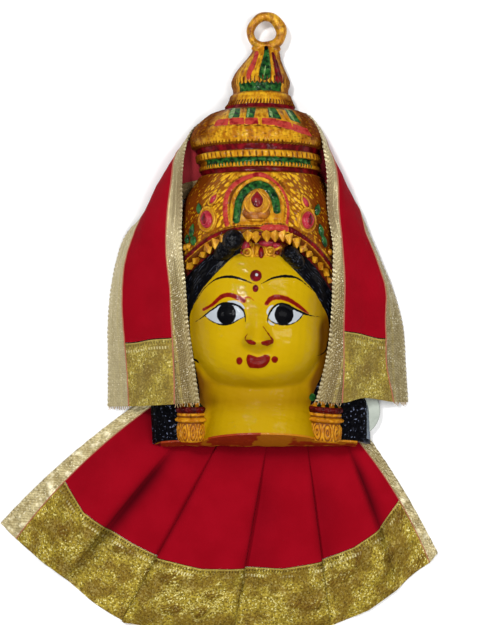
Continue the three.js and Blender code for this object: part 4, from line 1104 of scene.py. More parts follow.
def crown_body(x, y, angle, radius):
    """The same between the brow band and the first ring, with the distance above the band's line, where
    the hollows get less painted shade, and where brush strokes are laid on."""
    on_body = smooth(157.4, 156.4, y)
    around = angle * radius
    slant = around * np.sign(x - FACE_X) * 0.85 + y + 1.3 * waver(around, y, 14, 2)
    hatch = 0.5 * np.abs(np.sin(slant * math.pi / 2.9)) ** 0.8
    dashed = smooth(14, 18, np.abs(x + 2.6) + 0.4 * np.maximum(y - 148, 0))
    pattern = hatch * dashed
    near, _, out, along, _ = near_line(x, y, smooth_line(BROW_LINE), 16)
    out, along = filled(near, out, -20), filled(near, along, 0)
    out[((y > 127) & ~near) | (y > 139)] = 20
    above = smooth(1.4, 2.2, out)
    lift = pattern * above
    twist = np.abs(np.sin(along * math.pi / 2 + out * 1.3)) ** 0.6
    thick = 0.8 + 0.9 * smooth(-0.5, 1.5, x) * smooth(24, 16, x) + 0.3 * smooth(16, 24, np.abs(x))
    rope = band(out, -thick, thick)
    lift += (1 + 0.8 * twist) * np.sqrt(np.clip(1 - (out / (thick + 0.4)) ** 2, 0, 1))
    beads = 0.9 * bump(out - thick - 1.3, 0.8) * (0.4 + 0.6 * round_teeth(along, 1.7))
    lower = 0.8 * bump(out + BROW_BAND["lower_line"], 0.7)
    lift += (beads + lower) * (np.abs(out) < 14)
    for points, width, rise, pitch in ARCHES:
        near, away, _, run, _ = near_line(x, y, smooth_line(points), 5)
        away, run = filled(near, away, FAR), filled(near, run, 0)
        dots = 0.5 + 0.5 * round_teeth(run, pitch) if pitch else 1.0
        lift += rise * bump(away, width * 0.75) * dots * above
        if points is ARCH_PINK:
            pink_arch = width - away
    green_arch = stroke(x, y, ARCH_GREEN)
    lift += (0.9 + 0.4 * waver(x, y, 2.2, 3)) * smooth(-0.3, 1.4, green_arch)
    front_gold = patch(x, y, ARCH_GOLD)
    lift -= 0.15 * smooth(-0.5, 1.5, front_gold) * smooth(0.5, -0.5, green_arch)
    brighter = band(x, -1.2, 14.5)  # where the cord is painted a paler red
    red = union(np.minimum(rope, -brighter), 0.75 - np.abs(out + BROW_BAND["lower_line"]))
    # Brown under the brow teeth: painted shadow between them.
    teeth_bed = np.minimum(band(out, -6.4, -thick - 1.2), 1.0)
    # Painted shade on the sides that turn away from the middle.
    side_shade = smooth(0.62, 0.92, np.abs(angle + 0.02)) * smooth(1.5, 4, out) * on_body
    quiet = 1 - 0.8 * smooth(-0.5, 0.6, front_gold)
    painted = np.where(on_body > 0.5, FAR, -FAR)
    pink = union(pink_arch - 0.3 - 0.55 * smooth(2, 8, x), np.minimum(rope, brighter))
    paints = {"pink": np.minimum(pink, painted), "green": green_arch,
              "red": np.minimum(red, painted), "brown": np.minimum(teeth_bed, painted)}
    return lift * on_body, paints, out, side_shade, quiet, dashed * above * on_body


def hair_relief(x, y, skin):
    """Hair rolls over the forehead under the crown and hangs in rough locks beside the neck."""
    roll = smooth(0.2, -3.2, skin) * smooth(58, 74, y)
    strands = np.abs(np.sin((skin * 1.15 + 0.9 * waver(x, y, 9, 4)) * math.pi / 2.3)) ** 0.7
    curls = 0.6 * waver(x, y, 4.2, 5) + 0.35 * waver(x, y, 2.3, 6)
    locks = np.abs(np.sin((x + 0.8 * waver(x, y, 8, 5)) * math.pi / 2.6)) ** 0.6
    off_skin = smooth(0.5, -1.2, skin)
    low = smooth(46, 34, y) * off_skin
    upper = 0.42 * strands * off_skin * smooth(46, 60, y)
    return 2.3 * roll + upper + low * (0.5 * locks * smooth(20, 28, y) + curls * smooth(30, 20, y))


def blurred(field, cells):
    """The field averaged over a few cells each way, twice."""
    for axis in (0, 0, 1, 1):
        field = sum(np.roll(field, k, axis) for k in range(-cells, cells + 1)) / (2 * cells + 1)
    return field


def slanted(y, z):
    """Heights after the base is set at its slant."""
    return y + BASE_SLANT * z * smooth(SLANT_TOP, 0, y)


def casting_surface():
    """The casting's outside: its rows, its points, and for each point the paints and painted shades."""
    rows = casting_rows()
    angle = np.array([even_angles(y, OUTER_COLUMNS, 1.75) for y in rows])
    y = np.repeat(rows[:, None], OUTER_COLUMNS, 1)
    plain = plain_radius(angle, y)
    centre = lean(y)
    x = centre + plain * np.sin(angle)
    lift_tiers, tiers, tier_side_shade = crown_bands(x, y, angle, plain)
    lift_body, body, out, side_shade, quiet, dashed = crown_body(x, y, angle, plain)
    on_tiers = y > TIERS_FROM
    skin = patch(x, y, HAIRLINE)
    tag = patch(x, y, PENDANT_PLATE)
    in_crown = np.where(y > 139, FAR, np.where(y < 90, -FAR, union(out + BROW_BAND["depth"], tag)))
    skin = np.minimum(skin, -in_crown)
    hair = np.where((y < 128) & (in_crown < 0), FAR, -FAR)
    hair = np.where(np.abs(in_crown) < FAR, np.clip(-in_crown, -FAR, FAR), hair)
    lift = np.where(on_tiers, lift_tiers, 0) + np.where(on_tiers, 0, lift_body) * smooth(-0.5, 0.3, in_crown)
    below = smooth(0.3, -0.5, in_crown)
    lift += below * (face_relief(x, y) * smooth(-0.8, 0.6, skin) + hair_relief(x, y, skin))
    lift += 0.12 * waver(x, y, 7, 6) + 0.08 * waver(x, y, 3, 7) * (y > 100)
    r = plain + lift * np.sqrt(np.clip(np.cos(angle), 0, 1))
    z = np.maximum(r * np.cos(angle), 0)
    surface = np.stack([centre + r * np.sin(angle), slanted(y, z), z], -1)

    paints = {
        "hair": hair,
        "skin": skin,
        "orange": union(strokes(x, y, LID_STROKES) + 0.2, stroke(x, y, LID_SMUDGE) - 0.15),
        "lid_red": union(strokes(x, y, LID_STROKES) - 0.08, patch(x, y, LIPS) + 0.1,
                         strokes(x, y, NOSE_LINES), *[spot(x, y, place) for place in CHIN_DOTS]),
        "pink": np.where(on_tiers, tiers["pink"], body["pink"]),
        "painted_highlight": np.where(on_tiers, tiers["painted_highlight"], -FAR),
        "red": union(np.where(on_tiers, tiers["red"], body["red"]), spot(x, y, FOREHEAD_DOT),
                     spot(x, y, DROP), stroke(x, y, LIP_PARTING)),
        "green": union(np.where(on_tiers, tiers["green"], body["green"]), spot(x, y, NECK_LEAF)),
        "brown": np.where(on_tiers, tiers["brown"], body["brown"]),
        "white": union(*[patch(x, y, outline) for outline in EYE_WHITES], strokes(x, y, WHITE_TOUCHES),
                       *[spot(x, y, place) for place in DOT_HIGHLIGHTS]),
        "black": union(np.where(on_tiers, tiers["black"], -FAR), *[spot(x, y, place) for place in IRISES],
                       strokes(x, y, EYEBROWS + LASHES + SIDE_CURLS)),
    }
    # Painted shade in the crown's hollows and on its steep sides comes from this relief.
    relief = lift - blurred(lift, 3)
    steep = np.abs(np.gradient(r, axis=0)) / np.maximum(np.gradient(y, axis=0), 0.2)
    crown_only = smooth(-0.2, 0.4, in_crown)
    # Painted shade on the skin: darker at the jaw, under the chin, down the neck and beside the veil.
    jaw = smooth(22, 40, np.abs(x - 1)) * (0.35 + 0.5 * smooth(-10, 30, x)) * smooth(112, 96, y)
    neck = smooth(50, 36, y) * (0.2 + 0.3 * smooth(8, 26, y) + 0.12 * smooth(12, 32, np.abs(x - FACE_X)))
    beside = 0.45 * smooth(26, 37, x) * band(y, 26, 78).clip(0, 10) / 10
    beside += 0.3 * smooth(-32, -37, x) * band(y, 26, 58).clip(0, 10) / 10
    shade = jaw + 0.14 * bump(y - 26, 5) * smooth(36, 18, np.abs(x - FACE_X)) + neck + beside
    # Painted shade on the right of the dome.
    dome_right_shade = 0.5 * smooth(14, 36, x) * band(y, 176, 206).clip(0, 5) / 5
    # Painted shade on the crown's sides, less on raised relief.
    shaded_sides = side_shade + tier_side_shade * on_tiers * (1 - 0.3 * smooth(0.1, 0.4, relief))
    fields = {
        **paints,
        "hollow_shade": -relief * crown_only * quiet + dome_right_shade * on_tiers,
        "steep": np.where(y > 112, steep, 0) * crown_only * 0.35,
        "painted_side_shade": np.clip(shaded_sides, 0, 1),
        "dashed": dashed * crown_only,
        "around": angle * plain * MM,
        "skin_shade": np.clip(shade, 0, 1),
        "bare": np.minimum(x - 62.2, band(y, 2, 34)),
    }
    return rows, surface, fields


def inner_surface(rows):
    """The hollow's wall from the right rim back to the left rim, flat across the back above the hollow."""
    arcs = []
    for y in rows:
        angle = even_angles(min(y, CAVITY_TOP), INNER_COLUMNS)[::-1]
        level = np.full(angle.shape, y)
        around = np.min([plain_radius(angle, np.clip(level + dy, 0, 190)) for dy in (-4, 0, 4)], 0)
        r = around - WALL - 5 * smooth(172, 186, level)
        x, z = lean(y) + r * np.sin(angle), np.maximum(r * np.cos(angle), 0)
        if y > CAVITY_TOP:
            half = float(plain_radius(np.array([1.5]), np.array([y]))[0]) * 0.8
            x, z = lean(y) + np.linspace(half, -half, INNER_COLUMNS), np.zeros(INNER_COLUMNS)
        arcs.append(np.stack([x, slanted(level, z), z], -1))
    return np.array(arcs)


rows, outer, fields = casting_surface()
outer_x, outer_y = outer[..., 0], outer[..., 1]


def seat(x, y, spread):
    """The casting's surface point over (x, y) and the way it faces, measured that many cells each way."""
    where = np.argmin((outer_x - x) ** 2 + (outer_y - y) ** 2 + 100 * (outer[..., 2] < 1))
    j, i = np.unravel_index(where, outer_x.shape)
    up = outer[min(j + spread, len(rows) - 1), i] - outer[max(j - spread, 0), i]
    right = outer[j, min(i + spread, OUTER_COLUMNS - 1)] - outer[j, max(i - spread, 0)]
    normal = np.cross(right, up)
    return outer[j, i], normal / np.linalg.norm(normal)


def make_casting(material):
    inner = inner_surface(rows)
    surface = np.concatenate([outer, inner, outer[:, :1]], 1)
    piece, i, j = from_grid("mask_casting", surface)
    for name, field in fields.items():
        inner_value = FAR if name == "bare" else -FAR if name in PAINTS else 0.0
        inside = np.full((len(rows), INNER_COLUMNS), inner_value)
        whole = np.concatenate([field, inside, field[:, :1]], 1)
        attribute(piece, name, whole[j, i])
    edit(piece, merge, close_holes, face_out)
    return finish(piece, material, soft_angle=55, replaces=["mask"])


# Small parts of the casting, each modelled about the origin in metres with +Z out of the surface.
def settle(piece, x, y, turn, lift, spread):
    point, normal = seat(x, y, spread)
    normal = Vector(normal)
    up = Vector((math.sin(-turn), math.cos(turn), 0))
    up = (up - normal * up.dot(normal)).normalized()
    matrix = Matrix((up.cross(normal), up, normal)).transposed().to_4x4()
    matrix.translation = Vector((point + np.array(normal) * lift) * MM + ORIGIN)
    piece.data.transform(matrix)
    return piece


def copy_of(piece):
    copy = piece.copy()
    copy.data = piece.data.copy()
    bpy.context.scene.collection.objects.link(copy)
    return copy


def dome(half_width, half_height, rise, pinch=0.0, segments=28):
    """A rounded stone or boss; pinch draws its upper end to a point."""
    deselect()
    bpy.ops.mesh.primitive_uv_sphere_add(segments=segments, ring_count=16, radius=1)
    piece = bpy.context.object
    cut_away(piece, (0, 0, -0.15), (0, 0, 1))
    co = vertices(piece)
    narrow = 1 - pinch * np.clip(co[:, 1], 0, 1) ** 1.5
    wide = co * np.array([half_width, half_height, rise]) * MM
    wide[:, 0] *= narrow
    wide[:, 2] *= 0.4 + 0.6 * narrow
    set_vertices(piece, wide)
    return piece


def loop_rail(half_width, half_height, thickness, pinch=0.0, height=0.0, lumps=0):
    """A raised rim round a stone, with small lumps like beads if asked."""
    deselect()
    bpy.ops.mesh.primitive_torus_add(major_segments=64, minor_segments=10, major_radius=1, minor_radius=0.25)
    piece = bpy.context.object
    co = vertices(piece)
    turn = np.arctan2(co[:, 1], co[:, 0])
    off = (np.hypot(co[:, 0], co[:, 1]) - 1) / 0.25
    swell = 1 + 0.35 * (np.abs(np.cos(turn * lumps / 2)) - 0.5) if lumps else 1.0
    narrow = 1 - pinch * np.clip(np.sin(turn), 0, 1) ** 1.5
    x = (half_width * narrow * np.cos(turn) + off * thickness * swell * np.cos(turn)) * MM
    y = (half_height * np.sin(turn) + off * thickness * swell * np.sin(turn)) * MM
    set_vertices(piece, np.stack([x, y, (co[:, 2] / 0.25 * thickness * swell + height) * MM], 1))
    return piece


def tooth(width, height):
    """A four-sided pyramid with worn edges, its tip towards -Y."""
    deselect()
    bpy.ops.mesh.primitive_cone_add(vertices=4, radius1=width * MM, radius2=0.12 * width * MM,
                                    depth=height * MM)
    piece = bpy.context.object
    co = vertices(piece)
    share = co[:, 2] / (height * MM) + 0.5
    co[:, 1] -= share * width * 0.45 * MM
    co[:, 2] += height * 0.38 * MM
    set_vertices(piece, co)
    modify(piece, "BEVEL", width=0.22 * MM, segments=2, limit_method="NONE")
    return piece


def make_brow_teeth(gold):
    """Teeth under the brow band, apart from the place that the pendant covers."""
    line = smooth_line(BROW_LINE, 30)
    lengths = np.concatenate([[0], np.cumsum(np.hypot(*np.diff(line, axis=0).T))])
    pattern = tooth(3.6, 4.6)
    teeth = []
    for place in np.arange(9.5, lengths[-1] - 8, TOOTH_PITCH):
        x, y = (np.interp(place, lengths, line[:, k]) for k in (0, 1))
        ahead = [np.interp(place + 0.5, lengths, line[:, k]) for k in (0, 1)]
        turn = math.atan2(ahead[1] - y, ahead[0] - x)
        tooth_x, tooth_y = x + math.sin(turn) * TOOTH_INSET, y - math.cos(turn) * TOOTH_INSET
        if abs(x) <= 45 and not -20 < tooth_x < -10.5:
            teeth.append(settle(copy_of(pattern), tooth_x, tooth_y, turn, -0.3, 8))
    bpy.data.objects.remove(pattern)
    return finish(join(teeth, "brow_teeth"), gold, soft_angle=30)


def make_ring(gold):
    """The ring that the mask hangs by, hand-filed and a little uneven, and the lump it stands on."""
    deselect()
    bpy.ops.mesh.primitive_torus_add(major_segments=96, minor_segments=24, major_radius=RING_RADIUS,
                                     minor_radius=RING_THICKNESS)
    piece = bpy.context.object
    co = vertices(piece)
    turn = np.arctan2(co[:, 1], co[:, 0])
    share = (np.hypot(co[:, 0], co[:, 1]) - RING_RADIUS) / RING_THICKNESS
    bore = 6.35 - 0.9 * np.cos(turn) - 0.4 * np.abs(np.sin(turn)) - 0.4 * np.sin(3 * turn)
    rim = 11.75 + 0.12 * np.sin(turn * 7) + 0.15 * np.sin(turn * 4 + 1)
    radius = (bore + rim) / 2 + share * (rim - bore) / 2
    filed = 1 + 0.05 * np.sin(turn * 23 + 2 * np.sin(turn * 3)) * smooth(0.7, -0.7, share)
    flat = np.clip(co[:, 2] * 1.02, -2.7, 2.8)
    points = np.stack([radius * np.cos(turn), radius * np.sin(turn), flat * filed], 1)
    set_vertices(piece, (points + RING_AT) * MM + ORIGIN)
    deselect()
    bpy.ops.mesh.primitive_uv_sphere_add(segments=48, ring_count=24, radius=1)
    foot = bpy.context.object
    co = vertices(foot)
    lumps = 1 + 0.04 * waver(co[:, 0] * 5, co[:, 1] * 3, 2, 2)
    set_vertices(foot, (RING_FOOT_AT + co * lumps[:, None] * RING_FOOT) * MM + ORIGIN)
    return finish(join([piece, foot], "hanging_ring"), gold)


def make_jewels(paints):
    """The stones of the crown in their settings, and the leaves beside them."""
    parts = {name: [] for name in paints}

    def add(name, piece, x, y, turn=0, lift=0, spread=8):
        parts[name].append(settle(piece, x, y, turn, lift, spread))

    x, y = JEWEL_AT
    add("jewel_settings", dome(7.6, 7.4, 5.2, 0.45), x, y, 0, 0.2, 12)
    add("jewel_settings", loop_rail(6.8, 6.6, 0.8, 0.45, 1.9), x, y, 0, 0.2, 12)
    add("red_stones", dome(3.5, 5, 2.4, 0.75), x, y + 0.8, 0, 4.1, 12)
    add("jewel_settings", loop_rail(3.7, 5.2, 0.5, 0.7, 0.5), x, y + 0.8, 0, 4, 12)
    add("jewel_bowl", dome(7.7, 4.8, 3.4), x - 0.2, y - 5.3, 0, 0.1, 12)
    add("jewel_settings", dome(5, 1.2, 2.2), x - 0.2, y - 9.3, 0, 0.1, 12)
    for x, y, turn in FLOWERS:
        add("jewel_settings", dome(6.4, 7.6, 1.6), x, y, turn, 0, 12)
        add("jewel_settings", loop_rail(5.6, 6.8, 0.75, 0.15, 1.1, 22), x, y, turn, 0, 12)
        add("pink_stones", dome(4.2, 5.3, 3, 0.25), x, y, turn, 1, 12)
        add("pink_stones", loop_rail(2.5, 3.6, 0.45, 0.5, 0.2), x, y, turn, 3.1, 12)
        add("red_stones", dome(2.2, 3.3, 1, 0.6), x, y - 0.1, turn, 3.1, 12)
    for x, y, turn, size in SMALL_STONES:
        add("jewel_settings", loop_rail(2.3 * size, 4 * size, 0.6, 0.5, 0.6), x, y, turn, 0, 10)
        add("pink_stones", dome(1.7 * size, 3.1 * size, 1.5, 0.5), x, y, turn, 0.2, 10)
    for x, y, half_width, half_height, turn in LEAVES:
        add("crown_leaves", dome(half_width, half_height, 1.6, 0.7, 16), x, y, turn, 0.2, 10)
    for x, y in TEMPLE_BEADS:
        add("jewel_settings", dome(1.9, 1.9, 1.8, 0, 14), x, y, 0, 0.2)
    for name, x, y, half_width, half_height, turn in DROPS:
        add(name, dome(half_width, half_height, 2, 0.3, 14), x, y, turn)
    for x, y, radius in SCROLLS:
        add("jewel_settings", loop_rail(radius, radius, 0.6, 0, 0.9), x, y)
    for name, beads in BEADS.items():
        for x, y, radius in beads:
            add(name, dome(radius, radius * 0.9, radius * 0.8, 0, 12), x, y, 0.3 * x, -0.1)
    for name, paint in paints.items():
        piece = join(parts[name], name)
        edit(piece, face_out)
        finish(piece, paint)


def make_hair_ends(material):
    """The curled ends of the hair rolls on either side of the pendant."""
    ends = []
    for x, y, half_width, half_height, rise in HAIR_ENDS:
        piece = dome(half_width, half_height, rise, 0, 64)
        modify(piece, "SUBSURF", levels=1, render_levels=1)
        co = vertices(piece) / MM
        turn = np.arctan2(co[:, 1], co[:, 0])
        out = np.hypot(co[:, 0] / half_width, co[:, 1] / half_height)
        curl = np.abs(np.sin(out * 5.4 + turn * 1.5 + 0.6 * waver(co[:, 0], co[:, 1], 4, 3))) ** 0.7
        co *= (1 + 0.07 * (curl - 0.5) * smooth(1.02, 0.8, out))[:, None]
        set_vertices(piece, co * MM)
        ends.append(settle(piece, x, y, 0.8 * np.sign(x), 0.5, 8))
    return finish(join(ends, "hair_ends"), material)


def make_earrings(material):
    """Fluted bells under collars, a red band and a petalled dome."""
    pieces = []
    profile = smooth_line(EARRING_OUTLINE, 4)
    for x, scale, tilt in EARRINGS:
        angle, radius = np.meshgrid(np.linspace(0, 2 * math.pi, 145), profile[:, 0])
        y = np.repeat(profile[:, 1:2], angle.shape[1], 1)
        lobe = np.abs(((angle * 5 / math.pi + 0.25) % 1) - 0.5) * 2
        ovals = np.hypot(lobe, (y - 8.6) / 7)
        ridges = np.cos(ovals * 14 + 0.5 * waver(angle * 9, y, 5, 2))
        on_bell = smooth(-0.2, 1.2, band(y, 3, 14))
        radius = radius * (1 + 0.05 * (1 - lobe) * on_bell) + 0.26 * ridges * on_bell
        radius += 0.42 * waver(angle * 9, y, 3.6, 4) * smooth(-0.2, 0.5, band(y, 14.7, 23.5))
        radius = np.maximum(radius * scale, 0.05)
        across = radius * np.sin(angle)
        surface = np.stack([x + across, y + tilt * across, EARRING_Z + 0.8 * radius * np.cos(angle)], -1)
        petal = np.abs(np.sin(angle * 2.5 + 0.6))
        drops = [spot(surface[..., 0], y, (x + scale * dx, 24.1, 1.3, 1.8)) for dx in (-3, 1.2, 6.2)]
        grooves = bump(y - 14, 0.5) + bump(y - 17.6, 0.6) + bump(y - 19.9, 0.4)
        marks = {
            "red": band(y, 19.7, 23.4),
            "green": union(np.minimum(band(y, 25.6, 29), (petal - 0.5) * 6), *drops),
            # Painted shade in the bell's flutes and in the grooves.
            "hollow_shade": 0.4 * smooth(0.1, -0.9, ridges) * on_bell + 0.5 * grooves,
        }
        piece, i, j = from_grid("earring", surface)
        for name, values in marks.items():
            attribute(piece, name, values[j, i])
        edit(piece, merge, close_holes, face_out)
        pieces.append(piece)
    return finish(join(pieces, "earrings"), material)


def make_base_lip(material):
    """The sloping underside of the neck, in brick and gold paint, that shows below it."""
    edge = outer[0]
    edge = edge[(edge[:, 0] > -59) & (edge[:, 0] < 57)]
    down = np.linspace(0, 1, 14)[:, None, None]
    x, y, z = (edge[None, :, k][..., None] for k in range(3))
    low_z, low_y = 1.2, -0.1 + 0.45 * waver(edge[:, 0], 0 * edge[:, 0], 18, 3)[None, :, None]
    points = np.concatenate([x + 0 * down, y + (low_y - y) * down - 0.5, z + (low_z - z) * down], -1)
    piece, i, j = from_grid("base_lip", points)
    place = np.repeat(edge[None, :, 0], 14, 0)
    share = np.repeat(down[:, 0], place.shape[1], 1)
    patches = union(band(place + 4 * (share - 0.5), -4, 19), band(place, -36, -29.5))
    right = np.minimum(place - 17, (0.6 - share) * 9)
    gilt = union(patches, right, (share - 0.9) * 14) - 1.2 + 2 * waver(place, share * 9, 9, 1)
    attribute(piece, "gilt", gilt[j, i])
    modify(piece, "SOLIDIFY", thickness=1.2 * MM, offset=0)
    edit(piece, face_out)
    return finish(piece, material, soft_angle=50)


def make_bare_edge(material):
    """The unpainted flange of the casting past the hair at the lower right."""
    deselect()
    bpy.ops.mesh.primitive_cylinder_add(vertices=96, radius=1, depth=1)
    piece = name_piece(bpy.context.object, "bare_flange")
    cut_away(piece, (0, 0, 0), (1, 0, 0))
    set_vertices(piece, (FLANGE_AT + vertices(piece) * FLANGE_SIZE) * MM + ORIGIN)
    modify(piece, "BEVEL", width=0.5 * MM, segments=3, limit_method="ANGLE")
    return finish(piece, material)


# Cloth.
def centripetal_curve(points, t):
    """A curve through the points that doesn't swing out at tight bends, at shares of their count."""
    p = np.array(points, float)
    p = np.concatenate([2 * p[:1] - p[1:2], p, 2 * p[-1:] - p[-2:-1]])
    place = np.clip(np.asarray(t, float), 0, 1) * (len(p) - 3)
    i = np.minimum(place.astype(int), len(p) - 4)
    w = (place - i)[:, None]
    x0, x1, x2, x3 = p[i], p[i + 1], p[i + 2], p[i + 3]
    gaps = [np.linalg.norm(b - a, axis=1) for a, b in ((x0, x1), (x1, x2), (x2, x3))]
    d0, d1, d2 = (np.maximum(gap, 1e-6)[:, None] ** 0.5 for gap in gaps)
    t1 = ((x1 - x0) / d0 - (x2 - x0) / (d0 + d1) + (x2 - x1) / d1) * d1
    t2 = ((x2 - x1) / d1 - (x3 - x1) / (d1 + d2) + (x3 - x2) / d2) * d1
    return x1 + t1 * w + (-3 * x1 + 3 * x2 - 2 * t1 - t2) * w**2 + (2 * x1 - 2 * x2 + t1 + t2) * w**3


def veil_sheet(lengths, widths):
    """Points of the veil, (widths, lengths, 3), heights from the table."""
    ways = [[*left, *right[:-1][::-1]] for left, right in zip(VEIL_LEFT, VEIL_RIGHT)]
    lines = [centripetal_curve(way, lengths) for way in ways]
    at = np.interp(widths, VEIL_AT, np.linspace(0, 1, len(VEIL_AT)))
    sections = [centripetal_curve([line[k] for line in lines], at) for k in range(len(lengths))]
    sheet = np.array(sections).swapaxes(0, 1)
    sheet[..., 2] = np.maximum(sheet[..., 2], VEIL_LOWEST)
    return sheet


def unit(arrows):
    return arrows / np.maximum(np.linalg.norm(arrows, axis=-1, keepdims=True), 1e-9)


def surface_normals(sheet):
    return unit(np.cross(np.gradient(sheet, axis=1), np.gradient(sheet, axis=0)))


def lengths_on(sheet):
    """Distances along and across a sheet."""
    along = np.cumsum(np.linalg.norm(np.diff(sheet, axis=1, prepend=sheet[:, :1]), axis=-1), 1)
    across = np.cumsum(np.linalg.norm(np.diff(sheet, axis=0, prepend=sheet[:1]), axis=-1), 0)
    middle = along[len(along) // 2]
    return np.broadcast_to(middle, along.shape), across


def make_sheet(name, sheet, material, thickness, node, marks):
    """A cloth piece from points with heights from the table; thickened both ways."""
    lying = sheet - np.array([0, 0, RIM_LIFT])
    piece, i, j = from_grid(name, lying, np.stack(lengths_on(sheet), -1) * MM)
    for key, values in marks.items():
        attribute(piece, key, values[j, i])
    modify(piece, "SOLIDIFY", thickness=thickness * MM, offset=0, use_even_offset=False)
    edit(piece, face_out)
    return finish(piece, material, 50, [node])


def veil_soft(sheet):
    """Soft swells and ripples that a hanging cloth takes."""
    x, y = sheet[..., 0], sheet[..., 1]
    free = smooth(3, 9, sheet[..., 2])
    swell = 0.5 * waver(x, y, 46, 8) + 0.16 * waver(x, y, 15, 9)
    return sheet + surface_normals(sheet) * (swell * free)[..., None]


def make_cord(name, line, radius, material, sides=8):
    """A thin round thread along a line of millimetres from the table."""
    tangent = unit(np.gradient(line, axis=0))
    side = unit(np.cross(tangent, (0, 0, 1.0)))
    up = np.cross(side, tangent)
    turn = np.linspace(0, 2 * math.pi, sides + 1)[:, None, None]
    girth = np.broadcast_to(np.asarray(radius, float), len(line))[None, :, None]
    surface = line[None] + girth * (np.cos(turn) * side[None] + np.sin(turn) * up[None])
    piece, _, _ = from_grid(name, surface - np.array([0, 0, RIM_LIFT]))
    edit(piece, merge, close_holes, face_out)
    return finish(piece, material)


def veil_ends(width):
    """Where brocade meets cloth, as shares of the veil's length, at shares of the cloth's width."""
    return LEFT_END - 0.006 * smooth(0.1, 0.9, width), RIGHT_END - 0.006 * smooth(0.9, 0.2, width)


def veil_grid(start, end, widths, count):
    """Points of the veil between two shares of its length that may vary across it."""
    starts, ends = (np.broadcast_to(share, widths.shape) for share in (start, end))
    fine = np.linspace(0, 1, 1600)
    lines = []
    for a, b, line in zip(starts, ends, veil_sheet(fine, widths)):
        shares = np.linspace(a, b, count)
        lines.append(np.stack([np.interp(shares, fine, line[:, k]) for k in range(3)], -1))
    return np.array(lines)


def reverse_side(sheet):
    """Where the veil's reverse shows: low on the table above the shoulders."""
    return smooth(6.5, 3.2, sheet[..., 2]) * smooth(120, 135, sheet[..., 1])


def make_veil_fray(name, sheet, random, material):
    """Loose strands at both ends of a lace."""
    strands = []
    for end, inside in ((0, 6), (-1, -7)):
        for k in range(0, LACE_ROWS, 2):
            root = sheet[k, end]
            away = root - sheet[k, inside]
            away /= np.linalg.norm(away)
            long = random.uniform(0.7, 2.4)
            sway = random.uniform(-0.5, 0.5)
            t = np.linspace(-0.6, 1, 7)[:, None]
            line = root + away * long * t + np.array([sway, 0, -0.3]) * t**2
            line = line + random.uniform(-0.4, 0.4) * np.array([1, 0, 0])
            line[:, 2] = np.maximum(line[:, 2], 0.6)
            strands.append(make_cord("strand", line, 0.22, material, 5))
    return join(strands, name)


def make_veil(cloth, lace, brocade, thread, frayed):
    lower, upper = FRONT_SEAM + VEIL_GAP, BACK_SEAM - VEIL_GAP
    widths = np.linspace(lower, upper, CLOTH_ROWS)
    left, right = veil_ends((widths - lower) / (upper - lower))
    sheet = veil_soft(veil_grid(left + VEIL_END_GAP, right - VEIL_END_GAP, widths, 430))
    marks = {"reverse": reverse_side(sheet)}
    veil = make_sheet("veil_cloth_red", sheet, cloth, CLOTH_THICKNESS, "veil_cloth", marks)
    others = []
    for side, start, end in (("left", 0.0, left - VEIL_END_GAP), ("right", right + VEIL_END_GAP, 1.0)):
        sheet = veil_soft(veil_grid(start, end, widths, 90))
        run, across = lengths_on(sheet)
        from_top = run if side == "right" else run[:, -1:] - run
        marks = {"from_top": from_top, "run": across, "paler": np.full(run.shape, 0.14)}
        name, node = f"veil_brocade_{side}", f"veil_{side}_border"
        others.append(make_sheet(name, sheet, brocade, LACE_THICKNESS, node, marks))
    random = np.random.default_rng(5)
    for side, start, end in (("front", 0, FRONT_SEAM - VEIL_GAP), ("back", BACK_SEAM + VEIL_GAP, 1)):
        back = side == "back"
        sheet = veil_soft(veil_sheet(np.linspace(0, 1, 1500), np.linspace(start, end, LACE_ROWS)))
        along, across = lengths_on(sheet)
        from_edge = across[-1:] - across if back else across
        cord = 0.3 * smooth(2.4, 1.6, np.abs(from_edge - 2.9)) + 0.22 * bump(from_edge - 9.3, 0.6)
        uneven = 1.4 * waver(along, 0 * along, 21, 3)
        pucker = 0.2 * np.sin(along * 2 * math.pi / 3.1 + uneven) * smooth(3.5, 0, from_edge)
        sheet = sheet + surface_normals(sheet) * (cord + pucker)[..., None]
        outward = unit(np.gradient(sheet, axis=0) * (1 if back else -1))
        picot = 0.6 * (np.abs(np.sin(along * math.pi / 2.5)) ** 0.8) * smooth(0.9, 0, from_edge)
        sheet = sheet + outward * picot[..., None]
        sheet[..., 2] = np.maximum(sheet[..., 2], VEIL_LOWEST)
        marks = {
            "across": from_edge,
            "braided": np.full(along.shape, 0.5 if back else 1.0),
            "reverse": reverse_side(sheet),
            # Painted light and shade: the front lace darker low down, the back lace lighter on the left.
            "painted_light": 0.6 + 0.4 * smooth(0, -20, sheet[..., 0]) if back else smooth(20, 150, sheet[..., 1]),
        }
        name, node = f"veil_lace_{side}", f"veil_{side}_lace"
        others.append(make_sheet(name, sheet, lace, LACE_THICKNESS, node, marks))
        others.append(make_veil_fray(name + "_fray", sheet, random, frayed))
    for side, width in (("front", FRONT_SEAM), ("back", BACK_SEAM)):
        widths = np.array([width - 0.004, width, width + 0.004])
        strip = veil_soft(veil_sheet(np.linspace(0, 1, 900), widths))
        line = strip[1] + surface_normals(strip)[1] * 0.34
        along = np.cumsum(np.linalg.norm(np.diff(line, axis=0, prepend=line[:1]), axis=1))
        line[:, 2] = np.maximum(line[:, 2], VEIL_LOWEST + 0.2)
        girth = 0.3 + 0.14 * np.abs(np.sin(along * math.pi / 1.5))
        others.append(make_cord(f"veil_stitching_{side}", line, girth, thread))
    return veil, others


